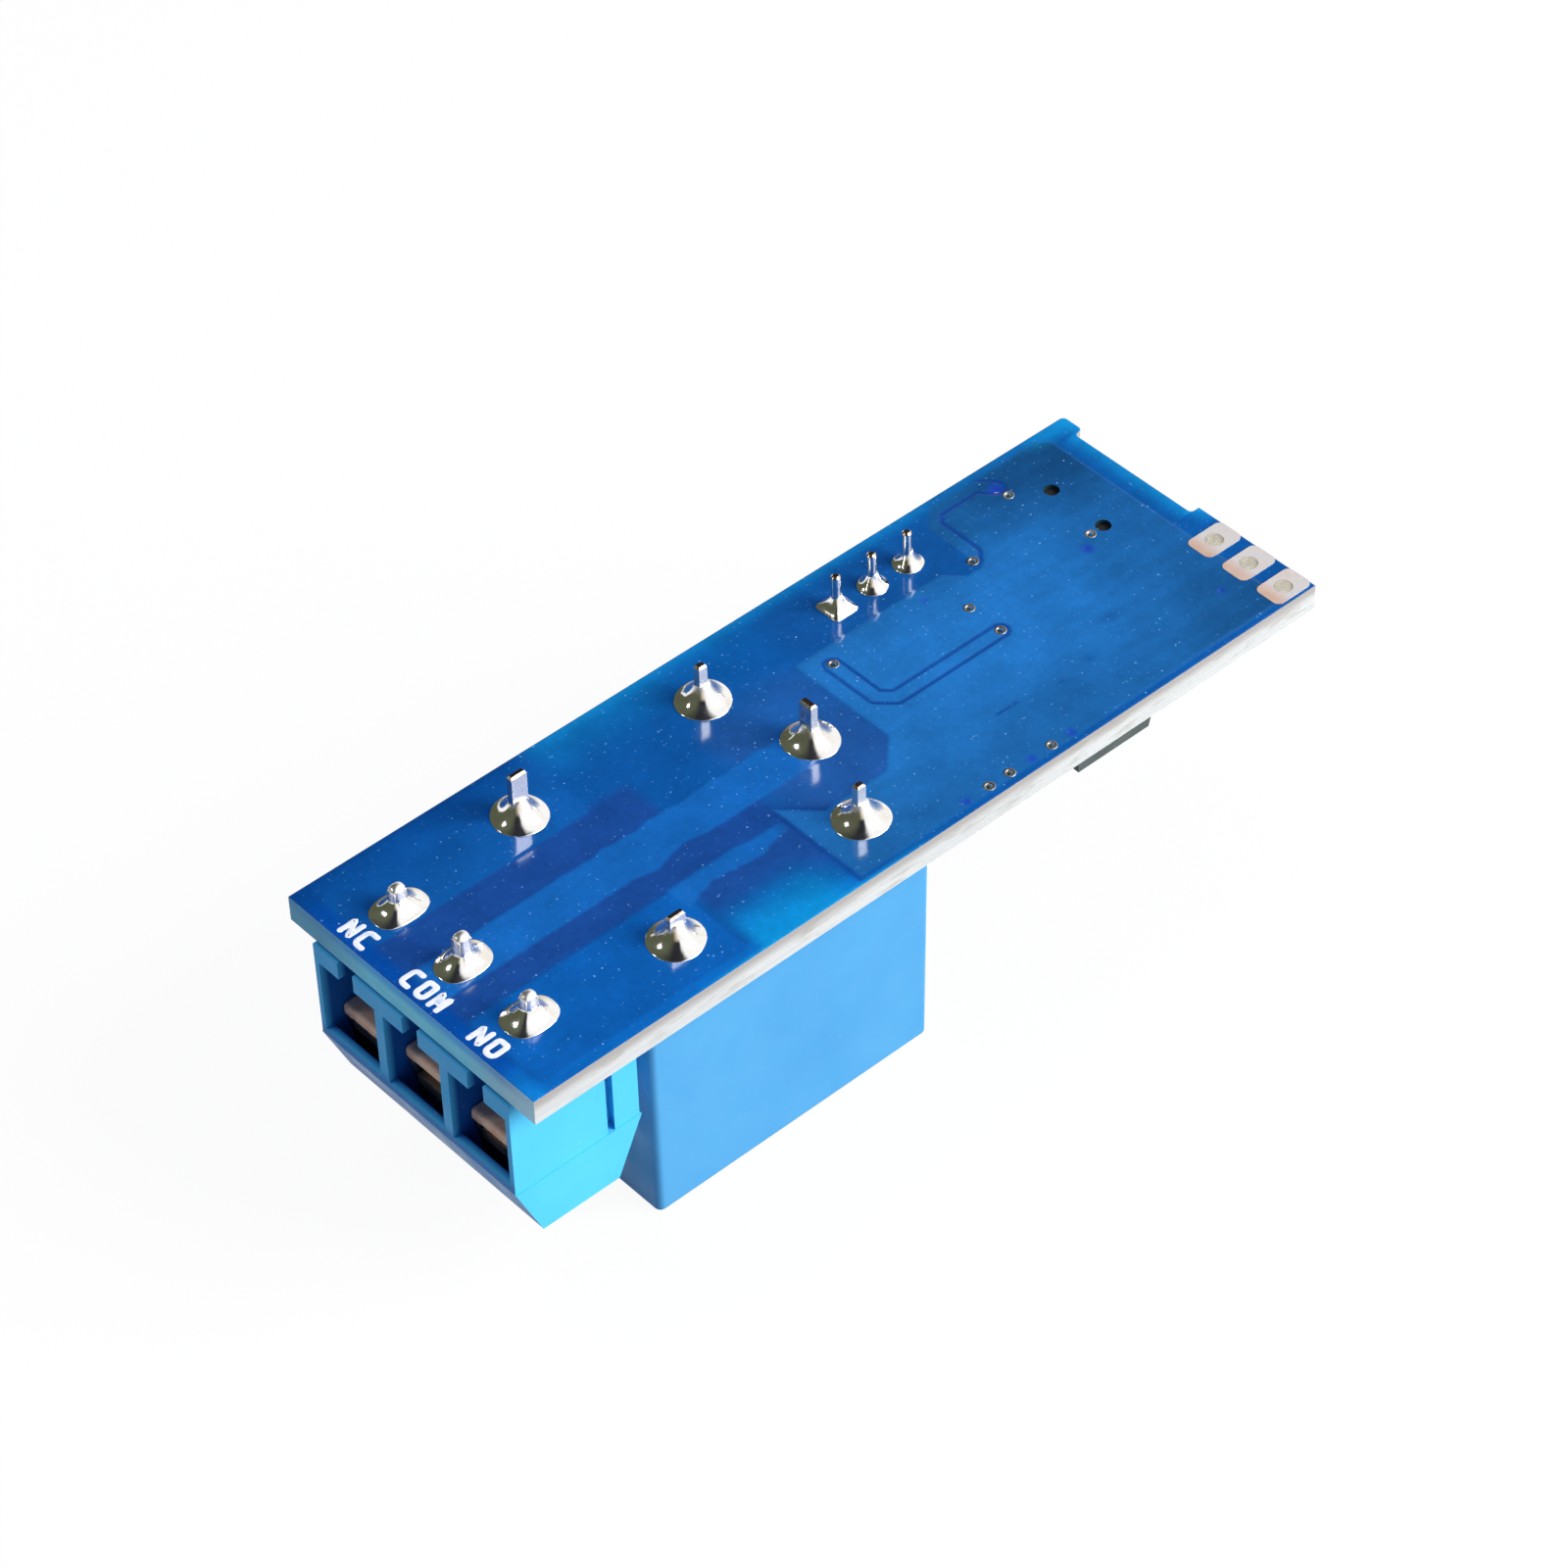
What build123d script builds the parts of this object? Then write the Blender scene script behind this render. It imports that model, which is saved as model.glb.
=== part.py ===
from build123d import *
import os
from math import tan, radians

# A one-channel relay module, resting as photographed: solder side up, standing on the relay's flat face.
# Millimetres. The origin is under the middle of the board, z = 0 is the relay's flat face, +X runs from
# the screw terminal to the socket. Places on the board are given from its terminal-end near corner.

# board
board_length = 53.8
board_width = 19.0
board_thickness = 1.6
overhang = 0.15            # terminal and socket stand this far past the board's two ends
notch_width = 8.9
notch_depth = 0.6
notch_fillet = 0.25
tab_fillet = 0.3
via_radius = 0.22
# open vias: share of the span between relay and socket, and y on the board
open_vias = [(0.172, 12.93), (0.563, 11.22), (0.563, 8.85), (0.692, 13.78), (0.935, 16.33), (0.983, 11.05),
             (0.154, 0.78), (0.223, 0.78), (0.365, 0.78)]

# edge pads
pad_pitch = 2.54
pad_count = 3
pad_first_y = 1.09
pad_length = 2.6
pad_width = 1.8
pad_corner = 0.4
pad_hole_radius = 0.5
pad_hole_inset = 1.3
copper = 0.05

# relay
relay_height = 15.0
relay_length = 18.7
relay_width = 15.1
relay_draft = 0.6
relay_wall = 0.7
relay_edge = 0.4
relay_rim_gap = 0.2
relay_base_thickness = 1.4
relay_to_terminal = 0.97    # terminal's back to the relay's near wall at its flat face
common_pin_to_wall = 1.15
contact_pins_to_wall = 3.25
side_pins_to_wall = 1.54
coil_pin_offset = 2.04      # common pin back to the two coil pins
relay_y = 0.0
seat_gap = 0.05
pin_play = 0.02

# relay pins: width along X, width along Y, tip height above the solder side
coil_pin = (0.55, 0.45)
common_pin = (0.45, 0.9)
contact_pin = (1.0, 0.4)
coil_tips = (2.6, 2.55)
common_tip = 2.75
closed_tip = 3.0
open_tip = 1.85

# relay works
yoke_thickness = 1.07
yoke_width = 8.0
core_share = 0.2115
pole_margin = 1.1
pole_thickness = 0.8
pole_gap = 0.4
bobbin_wall = 0.6
flange_thickness = 0.8
flange_corner = 1.0
flange_to_strip = 1.08      # bobbin's flange to the contact strips
flange_to_leg = 0.775       # bobbin's flange to the yoke's leg
flange_to_wall = 0.95       # pin flange's sides to the cover's outside
foot_flange_to_wall = 2.35
winding_margin = 0.4
armature_thickness = 1.1
armature_width = 8.6
leaf_thickness = 0.2
leaf_width = 3.0
leaf_margin = 0.2
leaf_corner = 1.0
rivet_radius = 0.6
contact_head = 0.6
return_spring_thickness = 0.15
return_spring_margin = 1.0
return_spring_end = 0.5
return_spring_corner = 0.8
armature_corner = 0.4
contact_radius = 1.1
contact_thickness = 0.4
contact_travel = 0.52
contact_arm_width = 2.4
strip_thickness = 0.4
closed_arm_z = 1.2

# screw terminal
cell_count = 3
cell_pitch = 5.06
cell_width = 4.4
terminal_depth = 8.05
terminal_height = 10.15
terminal_standoff = 0.2
terminal_side_wall = 0.42
terminal_shoulder = 6.6     # board side down to where the flanks turn in
terminal_front_slant = 1.5
terminal_back_slant = 1.57
terminal_pin_inset = 3.48
side_step = 0.08            # the upper walls lie this much further in than the flanks
terminal_foot_radius = 0.45
lip_height = 1.13
sill_height = 0.45
front_wall = 0.5
back_wall = 1.0
pin_slot_width = 1.2
groove_inset = 6.22         # front face to the dovetail groove's middle
groove_mouth = 0.45
groove_width = 0.8
groove_depth = 0.6

# clamp screws, cages and contacts
screw_radius = 1.3
head_radius = 1.85
head_thickness = 0.95
head_slot = 0.5
head_slot_depth = 0.5
head_hole_radius = 1.65
head_recess = 0.35
cage_clearance = 0.1
cage_wall = 0.6
cage_bar = 0.6
cage_nut = 0.65
cage_front = 1.15           # front face of the block to the cage's bar
cage_nut_front = 1.65
cage_length = 4.35
cage_edge = 0.25
wire_space = 1.8
wire_gaps = (0.35, 0.9, 0.1)  # how far each clamp stands open, from the near cell to the far one
contact_bar = 0.6
contact_front = 1.2
running_gap = 0.05
terminal_pin = (0.8, 0.6)
terminal_tips = (1.55, 1.85, 1.5)

# trimmer
trimmer_share = 0.44466     # middle, as a share of the span between relay and socket
trimmer_y = 16.03
trimmer_length = 9.53
trimmer_width = 4.83
trimmer_height = 10.0
trimmer_edge = 0.3
trimmer_foot = 0.4
trimmer_foot_length = 1.0
trimmer_pin_seat = 0.8
trimmer_pin_bevel = 0.1
trimmer_pin_pitch = 2.54
trimmer_pin_radius = 0.26
trimmer_tip = 2.3
adjuster_radius = 1.1
adjuster_inset = 1.35
adjuster_out = 1.4
adjuster_bed = 1.6
adjuster_bevel = 0.15

# socket
socket_y = 13.05
shell_width = 7.5
shell_height = 2.5
shell_length = 5.6
shell_wall = 0.25
shell_chamfer = 1.0
shell_flare = 0.2
flare_length = 0.5
peg_pitch = 3.95
peg_radius = 0.4
peg_inset = 0.69            # from the shell's back
peg_recess = 0.25
tongue_width = 3.7
tongue_thickness = 0.6
tongue_drop = 0.75
tongue_length = 3.4
insulator_length = 1.5
socket_contacts = 5
socket_contact_pitch = 0.65
socket_contact_width = 0.3
socket_contact_thickness = 0.15
socket_contact_inset = 0.3
socket_tail_out = 0.35
socket_tail_foot = 0.7

# small-outline chip
chip_share = 0.598
chip_y = 3.55
chip_length = 5.3
chip_width = 5.3
chip_height = 1.85
chip_standoff = 0.1
chip_draft = 6
lead_count = 4
lead_pitch = 1.27
lead_width = 0.4
lead_thickness = 0.2
lead_reach = 1.3
lead_foot = 0.6

# two-ended chips, all lying along Y: name, share of the span, y, then length, width, height
resistor_size = (1.6, 0.8, 0.45)
capacitor_size = (2.0, 1.25, 0.85)
lamp_size = (2.0, 1.25, 0.8)
small_chips = [
    ("resistor_1", 0.29, 9.9, resistor_size),
    ("resistor_2", 0.377, 9.9, resistor_size),
    ("resistor_3", 0.463, 9.9, resistor_size),
    ("resistor_4", 0.738, 9.9, resistor_size),
    ("resistor_5", 0.824, 9.9, resistor_size),
    ("capacitor_1", 0.945, 4.2, capacitor_size),
    ("capacitor_2", 0.281, 4.2, capacitor_size),
]
lamp_y = 16.2
chip_cap = 0.35
chip_cap_rise = 0.03

# driver transistor and flyback diode
transistor_share = 0.136
transistor_y = 10.6
transistor_size = (1.4, 2.9, 1.0)
transistor_pitch = 0.95
transistor_lead_width = 0.42
transistor_lead_thickness = 0.15
transistor_reach = 0.75
transistor_foot = 0.3
diode_share = 0.146
diode_y = 5.4
diode_size = (2.6, 4.3, 2.1)
diode_tab_width = 1.5
diode_tab_reach = 0.45
diode_tab_fold = 1.0
diode_tab_thickness = 0.25

# solder joints
joint_height = 1.25
joint_top = 0.35
joint_hollow = 0.46
joint_waist = 0.66
relay_joint_radius = 1.55
trimmer_joint_radius = 0.88
square_joint_side = 1.75
terminal_joint = (3.15, 2.35)
pin_hole_play = 0.25
pin_bevel = 0.15
pin_bevel_angle = 30

os.makedirs("parts", exist_ok=True)

part_side = relay_height
solder_side = relay_height + board_thickness
end_x = -board_length / 2
edge_y = -board_width / 2
front_x = end_x - overhang
back_x = front_x + terminal_depth
mouth_x = -end_x + overhang
shell_back = mouth_x - shell_length
relay_near_x = back_x + relay_to_terminal
relay_far_x = relay_near_x + relay_length


def between(share, y):
    """A place given by its share of the span from the relay to the socket, and from the board's near edge."""
    return relay_far_x + share * (shell_back - relay_far_x), edge_y + y


side_pin_y = relay_width / 2 - side_pins_to_wall
common_at = (relay_far_x - common_pin_to_wall, relay_y)
coil_pins_at = [(common_at[0] - coil_pin_offset, relay_y + side * side_pin_y) for side in (1, -1)]
closed_at = (relay_near_x + contact_pins_to_wall, relay_y + side_pin_y)
open_at = (relay_near_x + contact_pins_to_wall, relay_y - side_pin_y)
terminal_pin_x = end_x + terminal_pin_inset
cell_ys = [(i - (cell_count - 1) / 2) * cell_pitch for i in range(cell_count)]
trimmer_at = between(trimmer_share, trimmer_y)
trimmer_pins_at = [(trimmer_at[0] + i * trimmer_pin_pitch, trimmer_at[1]) for i in (-1, 0, 1)]
pads_at = [(-end_x - pad_hole_inset, edge_y + pad_first_y + i * pad_pitch) for i in range(pad_count)]
socket_mid_y = edge_y + socket_y
pegs_at = [(shell_back + peg_inset, socket_mid_y + side * peg_pitch / 2) for side in (-1, 1)]


def hole_for(pin):
    """Radius of the plated hole that a rectangular pin goes through."""
    return (pin[0] ** 2 + pin[1] ** 2) ** 0.5 / 2 + pin_hole_play


def joint_cone(at, radius):
    """A cone of solder with a hollow flank, standing on the solder side."""
    with BuildPart() as cone:
        with BuildSketch(Plane((at[0], at[1], solder_side), x_dir=(1, 0, 0), z_dir=(0, -1, 0))):
            with BuildLine():
                Polyline((joint_top, joint_height), (0, joint_height), (0, 0), (radius, 0))
                flank = (joint_top + joint_hollow * (radius - joint_top), joint_hollow * joint_height)
                ThreePointArc((radius, 0), flank, (joint_top, joint_height))
            make_face()
        revolve(axis=Axis((at[0], at[1], 0), (0, 0, 1)))
    return cone.part


def blade(at, pin, start, tip):
    """A rectangular pin from a height to its tip above the solder side, with a bevelled end."""
    end = solder_side + tip
    with BuildPart() as body:
        with BuildSketch(Plane.XY.offset(start)):
            with Locations(at):
                Rectangle(*pin)
        extrude(amount=end - pin_bevel - start)
        with BuildSketch(Plane.XY.offset(end - pin_bevel)):
            with Locations(at):
                Rectangle(*pin)
        extrude(amount=pin_bevel, taper=pin_bevel_angle)
    return body.part


common_hole = hole_for(common_pin)
coil_hole = hole_for(coil_pin)
contact_hole = hole_for(contact_pin)
terminal_hole = hole_for(terminal_pin)
trimmer_hole = trimmer_pin_radius + pin_hole_play

# the board: one sheet with the socket's notch and every drilled hole
with BuildPart() as board:
    with BuildSketch(Plane.XY.offset(part_side)) as outline:
        Rectangle(board_length, board_width)
        with Locations((board_length / 2, socket_mid_y)):
            Rectangle(2 * notch_depth, notch_width, mode=Mode.SUBTRACT)
        fillet(outline.vertices().group_by(Axis.X)[-2], notch_fillet)
        fillet(outline.vertices().group_by(Axis.X)[-1].sort_by(Axis.Y)[-2:], tab_fillet)
    extrude(amount=board_thickness)
    with BuildSketch(Plane.XY.offset(part_side)):
        with Locations([between(share, y) for share, y in open_vias]):
            Circle(via_radius)
        with Locations(pads_at):
            Circle(pad_hole_radius + copper)
        with Locations(pegs_at):
            Circle(peg_radius + seat_gap)
        with Locations([(terminal_pin_x, y) for y in cell_ys]):
            Circle(terminal_hole)
        with Locations(trimmer_pins_at):
            Circle(trimmer_hole)
        with Locations(coil_pins_at):
            Circle(coil_hole)
        with Locations(closed_at, open_at):
            Circle(contact_hole)
        with Locations(common_at):
            Circle(common_hole)
    extrude(amount=board_thickness, mode=Mode.SUBTRACT)
board.part.label = "board"
export_step(board.part, "parts/board.step")

# edge pads: a land on each face and the plated wall of the hole between them
for number, (x, y) in enumerate(pads_at, start=1):
    with BuildPart() as edge_pad:
        with BuildSketch(Plane.XY.offset(part_side - copper)):
            with Locations((-end_x - pad_length / 2, y)):
                RectangleRounded(pad_length, pad_width, pad_corner)
        extrude(amount=copper)
        with BuildSketch(Plane.XY.offset(solder_side)):
            with Locations((-end_x - pad_length / 2, y)):
                RectangleRounded(pad_length, pad_width, pad_corner)
        extrude(amount=copper)
        with BuildSketch(Plane.XY.offset(part_side - copper)):
            with Locations((x, y)):
                Circle(pad_hole_radius + copper)
        extrude(amount=board_thickness + 2 * copper)
        with BuildSketch(Plane.XY.offset(part_side - copper)):
            with Locations((x, y)):
                Circle(pad_hole_radius)
        extrude(amount=board_thickness + 2 * copper, mode=Mode.SUBTRACT)
    edge_pad.part.label = f"edge_pad_{number}"
    export_step(edge_pad.part, f"parts/edge_pad_{number}.step")

# solder joints: cones with a hollow flank, each with the plug that fills its hole
relay_joints = [
    (coil_pins_at[0], coil_pin, coil_hole),
    (coil_pins_at[1], coil_pin, coil_hole),
    (common_at, common_pin, common_hole),
    (closed_at, contact_pin, contact_hole),
    (open_at, contact_pin, contact_hole),
]
with BuildPart() as relay_solder:
    for at, pin, hole in relay_joints:
        add(joint_cone(at, relay_joint_radius))
        with BuildSketch(Plane.XY.offset(part_side)):
            with Locations(at):
                Circle(hole)
        extrude(amount=board_thickness)
        with BuildSketch(Plane.XY.offset(part_side)):
            with Locations(at):
                Rectangle(*pin)
        extrude(amount=board_thickness + joint_height, mode=Mode.SUBTRACT)
relay_solder.part.label = "relay_solder"
export_step(relay_solder.part, "parts/relay_solder.step")

with BuildPart() as trimmer_solder:
    for at in trimmer_pins_at[1:]:
        add(joint_cone(at, trimmer_joint_radius))
    with BuildSketch(Plane.XY.offset(solder_side)):
        with Locations(trimmer_pins_at[0]):
            Rectangle(square_joint_side, square_joint_side)
    with BuildSketch(Plane.XY.offset(solder_side + joint_height)):
        with Locations(trimmer_pins_at[0]):
            Rectangle(2 * joint_top, 2 * joint_top)
    loft()
    with BuildSketch(Plane.XY.offset(part_side)):
        with Locations(trimmer_pins_at):
            Circle(trimmer_hole)
    extrude(amount=board_thickness)
    with BuildSketch(Plane.XY.offset(part_side)):
        with Locations(trimmer_pins_at):
            Circle(trimmer_pin_radius)
    extrude(amount=board_thickness + joint_height, mode=Mode.SUBTRACT)
trimmer_solder.part.label = "trimmer_solder"
export_step(trimmer_solder.part, "parts/trimmer_solder.step")

with BuildPart() as terminal_solder:
    for y in cell_ys:
        at = (terminal_pin_x, y)
        with BuildSketch(Plane.XY.offset(solder_side)):
            with Locations(at):
                SlotOverall(*terminal_joint)
        with BuildSketch(Plane.XY.offset(solder_side + joint_hollow * joint_height)):
            with Locations(at):
                SlotOverall(*[joint_waist * size for size in terminal_joint])
        with BuildSketch(Plane.XY.offset(solder_side + joint_height)):
            with Locations(at):
                SlotOverall(terminal_pin[0] + joint_top, terminal_pin[1] + joint_top)
        loft(ruled=True)
        with BuildSketch(Plane.XY.offset(part_side)):
            with Locations(at):
                Circle(terminal_hole)
        extrude(amount=board_thickness)
        with BuildSketch(Plane.XY.offset(part_side)):
            with Locations(at):
                Rectangle(*terminal_pin)
        extrude(amount=board_thickness + joint_height, mode=Mode.SUBTRACT)
terminal_solder.part.label = "terminal_solder"
export_step(terminal_solder.part, "parts/terminal_solder.step")

# relay cover: a drafted cup, open towards the board
relay_mid = ((relay_near_x + relay_far_x) / 2, relay_y)
rim_z = relay_height - relay_rim_gap


def cover_section(z, inset):
    """The cover's section at a height, set in from its outside."""
    grow = 2 * (z * tan(radians(relay_draft)) - inset)
    with BuildSketch(Plane.XY.offset(z)) as section:
        with Locations(relay_mid):
            RectangleRounded(relay_length + grow, relay_width + grow, relay_edge)
    return section.sketch


with BuildPart() as relay_cover:
    loft([cover_section(0, 0), cover_section(rim_z, 0)])
    fillet(relay_cover.faces().sort_by(Axis.Z)[0].edges(), relay_edge / 2)
    loft([cover_section(relay_wall, relay_wall), cover_section(rim_z, relay_wall)], mode=Mode.SUBTRACT)
relay_cover.part.label = "relay_cover"
export_step(relay_cover.part, "parts/relay_cover.step")

# relay base: the moulded plate that closes the cover, with a slot for each pin
base_z = relay_height - relay_base_thickness
with BuildPart() as relay_base:
    with BuildSketch(Plane.XY.offset(base_z)):
        with Locations(relay_mid):
            Rectangle(relay_length - 2 * (relay_wall + seat_gap), relay_width - 2 * (relay_wall + seat_gap))
        with Locations(coil_pins_at):
            Rectangle(coil_pin[0] + pin_play, coil_pin[1] + pin_play, mode=Mode.SUBTRACT)
        with Locations(common_at):
            Rectangle(common_pin[0] + pin_play, common_pin[1] + pin_play, mode=Mode.SUBTRACT)
        with Locations(closed_at, open_at):
            Rectangle(contact_pin[0] + pin_play, contact_pin[1] + pin_play, mode=Mode.SUBTRACT)
    extrude(amount=relay_base_thickness)
relay_base.part.label = "relay_base"
export_step(relay_base.part, "parts/relay_base.step")

# heights of the contact stack, from the closed contact's arm up to the open contact's arm
closed_contact_z = closed_arm_z + strip_thickness
moving_contact_z = closed_contact_z + contact_thickness + pin_play
leaf_z = moving_contact_z + contact_head
armature_z = leaf_z + leaf_thickness
moving_contact_top = armature_z + contact_head
open_contact_z = moving_contact_top + contact_travel
open_arm_z = open_contact_z + contact_thickness
pole_z = armature_z + armature_thickness + pole_gap
hinge_z = armature_z + armature_thickness
yoke_top = base_z - seat_gap
yoke_plate_z = yoke_top - yoke_thickness
yoke_back = common_at[0] + common_pin[0] / 2
flange_low_x = closed_at[0] + contact_arm_width / 2 + flange_to_strip
flange_high_x = yoke_back - yoke_thickness - flange_to_leg
flange_length = flange_high_x - flange_low_x
core_radius = core_share * flange_length
pole_radius = core_radius + pole_margin
coil_at = ((flange_low_x + flange_high_x) / 2, relay_y)

# yoke: the plate over the coil, the leg that carries the armature, and the common pin
with BuildPart() as relay_yoke:
    with BuildSketch(Plane.XZ.offset(-relay_y)):
        with BuildLine():
            Polyline(
                (coil_at[0] - pole_radius, yoke_plate_z),
                (coil_at[0] - pole_radius, yoke_top),
                (yoke_back, yoke_top),
                (yoke_back, hinge_z + seat_gap),
                (yoke_back - yoke_thickness, hinge_z + seat_gap),
                (yoke_back - yoke_thickness, yoke_plate_z),
                close=True,
            )
        make_face()
    extrude(amount=yoke_width / 2, both=True)
    with BuildSketch(Plane.XY.offset(yoke_plate_z)):
        with Locations(coil_at):
            Circle(core_radius)
    extrude(amount=yoke_thickness, mode=Mode.SUBTRACT)
    add(blade(common_at, common_pin, yoke_top, common_tip))
relay_yoke.part.label = "relay_yoke"
export_step(relay_yoke.part, "parts/relay_yoke.step")

# core: a round bar riveted into the yoke, with the pole at its free end
with BuildPart() as relay_core:
    with BuildSketch(Plane.XY.offset(pole_z)):
        with Locations(coil_at):
            Circle(pole_radius)
    extrude(amount=pole_thickness)
    with BuildSketch(Plane.XY.offset(pole_z + pole_thickness)):
        with Locations(coil_at):
            Circle(core_radius)
    extrude(amount=yoke_top - pole_z - pole_thickness)
relay_core.part.label = "relay_core"
export_step(relay_core.part, "parts/relay_core.step")

# bobbin: a tube on the core between two flanges, the one near the base holding the coil's pins
foot_flange_z = pole_z + pole_thickness + pin_play
pin_flange_z = yoke_plate_z - pin_play - flange_thickness
with BuildPart() as relay_bobbin:
    with BuildSketch(Plane.XY.offset(foot_flange_z)):
        with Locations(coil_at):
            RectangleRounded(flange_length, relay_width - 2 * foot_flange_to_wall, flange_corner)
    extrude(amount=flange_thickness)
    with BuildSketch(Plane.XY.offset(pin_flange_z)):
        with Locations(coil_at):
            RectangleRounded(flange_length, relay_width - 2 * flange_to_wall, flange_corner)
    extrude(amount=flange_thickness)
    with BuildSketch(Plane.XY.offset(foot_flange_z)):
        with Locations(coil_at):
            Circle(core_radius + seat_gap + bobbin_wall)
    extrude(amount=pin_flange_z - foot_flange_z)
    with BuildSketch(Plane.XY.offset(foot_flange_z)):
        with Locations(coil_at):
            Circle(core_radius + seat_gap)
    extrude(amount=pin_flange_z + flange_thickness - foot_flange_z, mode=Mode.SUBTRACT)
    with BuildSketch(Plane.XY.offset(pin_flange_z)):
        with Locations(coil_pins_at):
            Rectangle(*coil_pin)
    extrude(amount=flange_thickness, mode=Mode.SUBTRACT)
relay_bobbin.part.label = "relay_bobbin"
export_step(relay_bobbin.part, "parts/relay_bobbin.step")

# winding: the wire's outer form between the flanges
with BuildPart() as relay_winding:
    with BuildSketch(Plane.XY.offset(foot_flange_z + flange_thickness)):
        with Locations(coil_at):
            Circle(flange_length / 2 - winding_margin)
            Circle(core_radius + seat_gap + bobbin_wall, mode=Mode.SUBTRACT)
    extrude(amount=pin_flange_z - foot_flange_z - flange_thickness)
relay_winding.part.label = "relay_winding"
export_step(relay_winding.part, "parts/relay_winding.step")

# coil pins, held in the bobbin's flange
for number, (at, tip) in enumerate(zip(coil_pins_at, coil_tips), start=1):
    with BuildPart() as relay_coil_pin:
        add(blade(at, coil_pin, pin_flange_z, tip))
    relay_coil_pin.part.label = f"relay_coil_pin_{number}"
    export_step(relay_coil_pin.part, f"parts/relay_coil_pin_{number}.step")

# armature: a flat plate from the edge of the yoke's leg, where it hinges, to the pole's far side
armature_end_x = coil_at[0] - pole_radius
with BuildPart() as relay_armature:
    with BuildSketch(Plane.XY.offset(armature_z)):
        with Locations(((armature_end_x + yoke_back) / 2, relay_y)):
            Rectangle(yoke_back - armature_end_x, armature_width)
    extrude(amount=armature_thickness)
    fillet(relay_armature.edges().filter_by(Axis.Z), armature_corner)
relay_armature.part.label = "relay_armature"
export_step(relay_armature.part, "parts/relay_armature.step")

# contact leaf: the thin spring under the armature that carries the moving contact
leaf_end_x = closed_at[0] - contact_radius - leaf_margin
with BuildPart() as relay_leaf:
    with BuildSketch(Plane.XY.offset(leaf_z)):
        with Locations(((leaf_end_x + yoke_back) / 2, relay_y)):
            RectangleRounded(yoke_back - leaf_end_x, leaf_width, leaf_corner)
        with Locations((closed_at[0], relay_y)):
            Circle(rivet_radius, mode=Mode.SUBTRACT)
    extrude(amount=leaf_thickness)
relay_leaf.part.label = "relay_leaf"
export_step(relay_leaf.part, "parts/relay_leaf.step")

# moving contact: a rivet with a head on both sides of the leaf
with BuildPart() as relay_moving_contact:
    with BuildSketch(Plane.XY.offset(moving_contact_z)):
        with Locations((closed_at[0], relay_y)):
            Circle(contact_radius)
    extrude(amount=contact_head)
    with BuildSketch(Plane.XY.offset(leaf_z)):
        with Locations((closed_at[0], relay_y)):
            Circle(rivet_radius)
    extrude(amount=leaf_thickness)
    with BuildSketch(Plane.XY.offset(armature_z)):
        with Locations((closed_at[0], relay_y)):
            Circle(contact_radius)
    extrude(amount=contact_head)
relay_moving_contact.part.label = "relay_moving_contact"
export_step(relay_moving_contact.part, "parts/relay_moving_contact.step")

# return spring: the leaf on the back of the yoke's leg that pulls the armature open
return_spring_width = yoke_width - 2 * return_spring_margin
return_spring_height = yoke_plate_z - hinge_z - 2 * return_spring_end
with BuildPart() as relay_return_spring:
    with BuildSketch(Plane.YZ.offset(yoke_back)):
        with Locations((relay_y, (hinge_z + yoke_plate_z) / 2)):
            RectangleRounded(return_spring_width, return_spring_height, return_spring_corner)
    extrude(amount=return_spring_thickness)
relay_return_spring.part.label = "relay_return_spring"
export_step(relay_return_spring.part, "parts/relay_return_spring.step")

# fixed contacts: a strip down the side wall, an arm over to the middle with its contact, and the pin
fixed_contacts = [
    ("relay_closed_terminal", closed_at, 1, closed_arm_z, closed_contact_z, closed_tip),
    ("relay_open_terminal", open_at, -1, open_arm_z, open_contact_z, open_tip),
]
for name, at, side, arm_z, contact_z, tip in fixed_contacts:
    wall_y = at[1] + side * contact_pin[1] / 2
    with BuildPart() as fixed_contact:
        with BuildSketch(Plane.XY.offset(arm_z)):
            with Locations((at[0], (wall_y - side * contact_radius) / 2)):
                Rectangle(contact_arm_width, abs(wall_y) + contact_radius)
        extrude(amount=strip_thickness)
        with BuildSketch(Plane.XY.offset(arm_z)):
            with Locations(at):
                Rectangle(contact_arm_width, contact_pin[1])
        extrude(amount=base_z - seat_gap - arm_z)
        with BuildSketch(Plane.XY.offset(contact_z)):
            with Locations((at[0], relay_y)):
                Circle(contact_radius)
        extrude(amount=contact_thickness)
        add(blade(at, contact_pin, base_z - seat_gap, tip))
    fixed_contact.part.label = name
    export_step(fixed_contact.part, f"parts/{name}.step")

# screw terminal housing: the block's outline with a chamber, a screw hole and a pin slot in each cell
terminal_width = (cell_count - 1) * cell_pitch + cell_width + 2 * terminal_side_wall
housing_top = part_side - terminal_standoff
terminal_low = part_side - terminal_height
shoulder_z = part_side - terminal_shoulder
wire_top = housing_top - lip_height
wire_low = shoulder_z + sill_height
head_low = terminal_low + head_recess
head_top = head_low + head_thickness
contact_low = head_top + running_gap + cage_nut + wire_space
contact_top = contact_low + contact_bar
contact_width = cell_width - 2 * (cage_clearance + cage_wall + cage_clearance)
foot_top = housing_top - seat_gap
foot_front = terminal_pin_x - terminal_pin[0] / 2
riser_back = back_x - back_wall - seat_gap
slant_share = (shoulder_z - head_top) / (shoulder_z - terminal_low)
cage_back = front_x + cage_front + cage_length
chamber_back = cage_back + cage_clearance
groove_x = front_x + groove_inset


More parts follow.
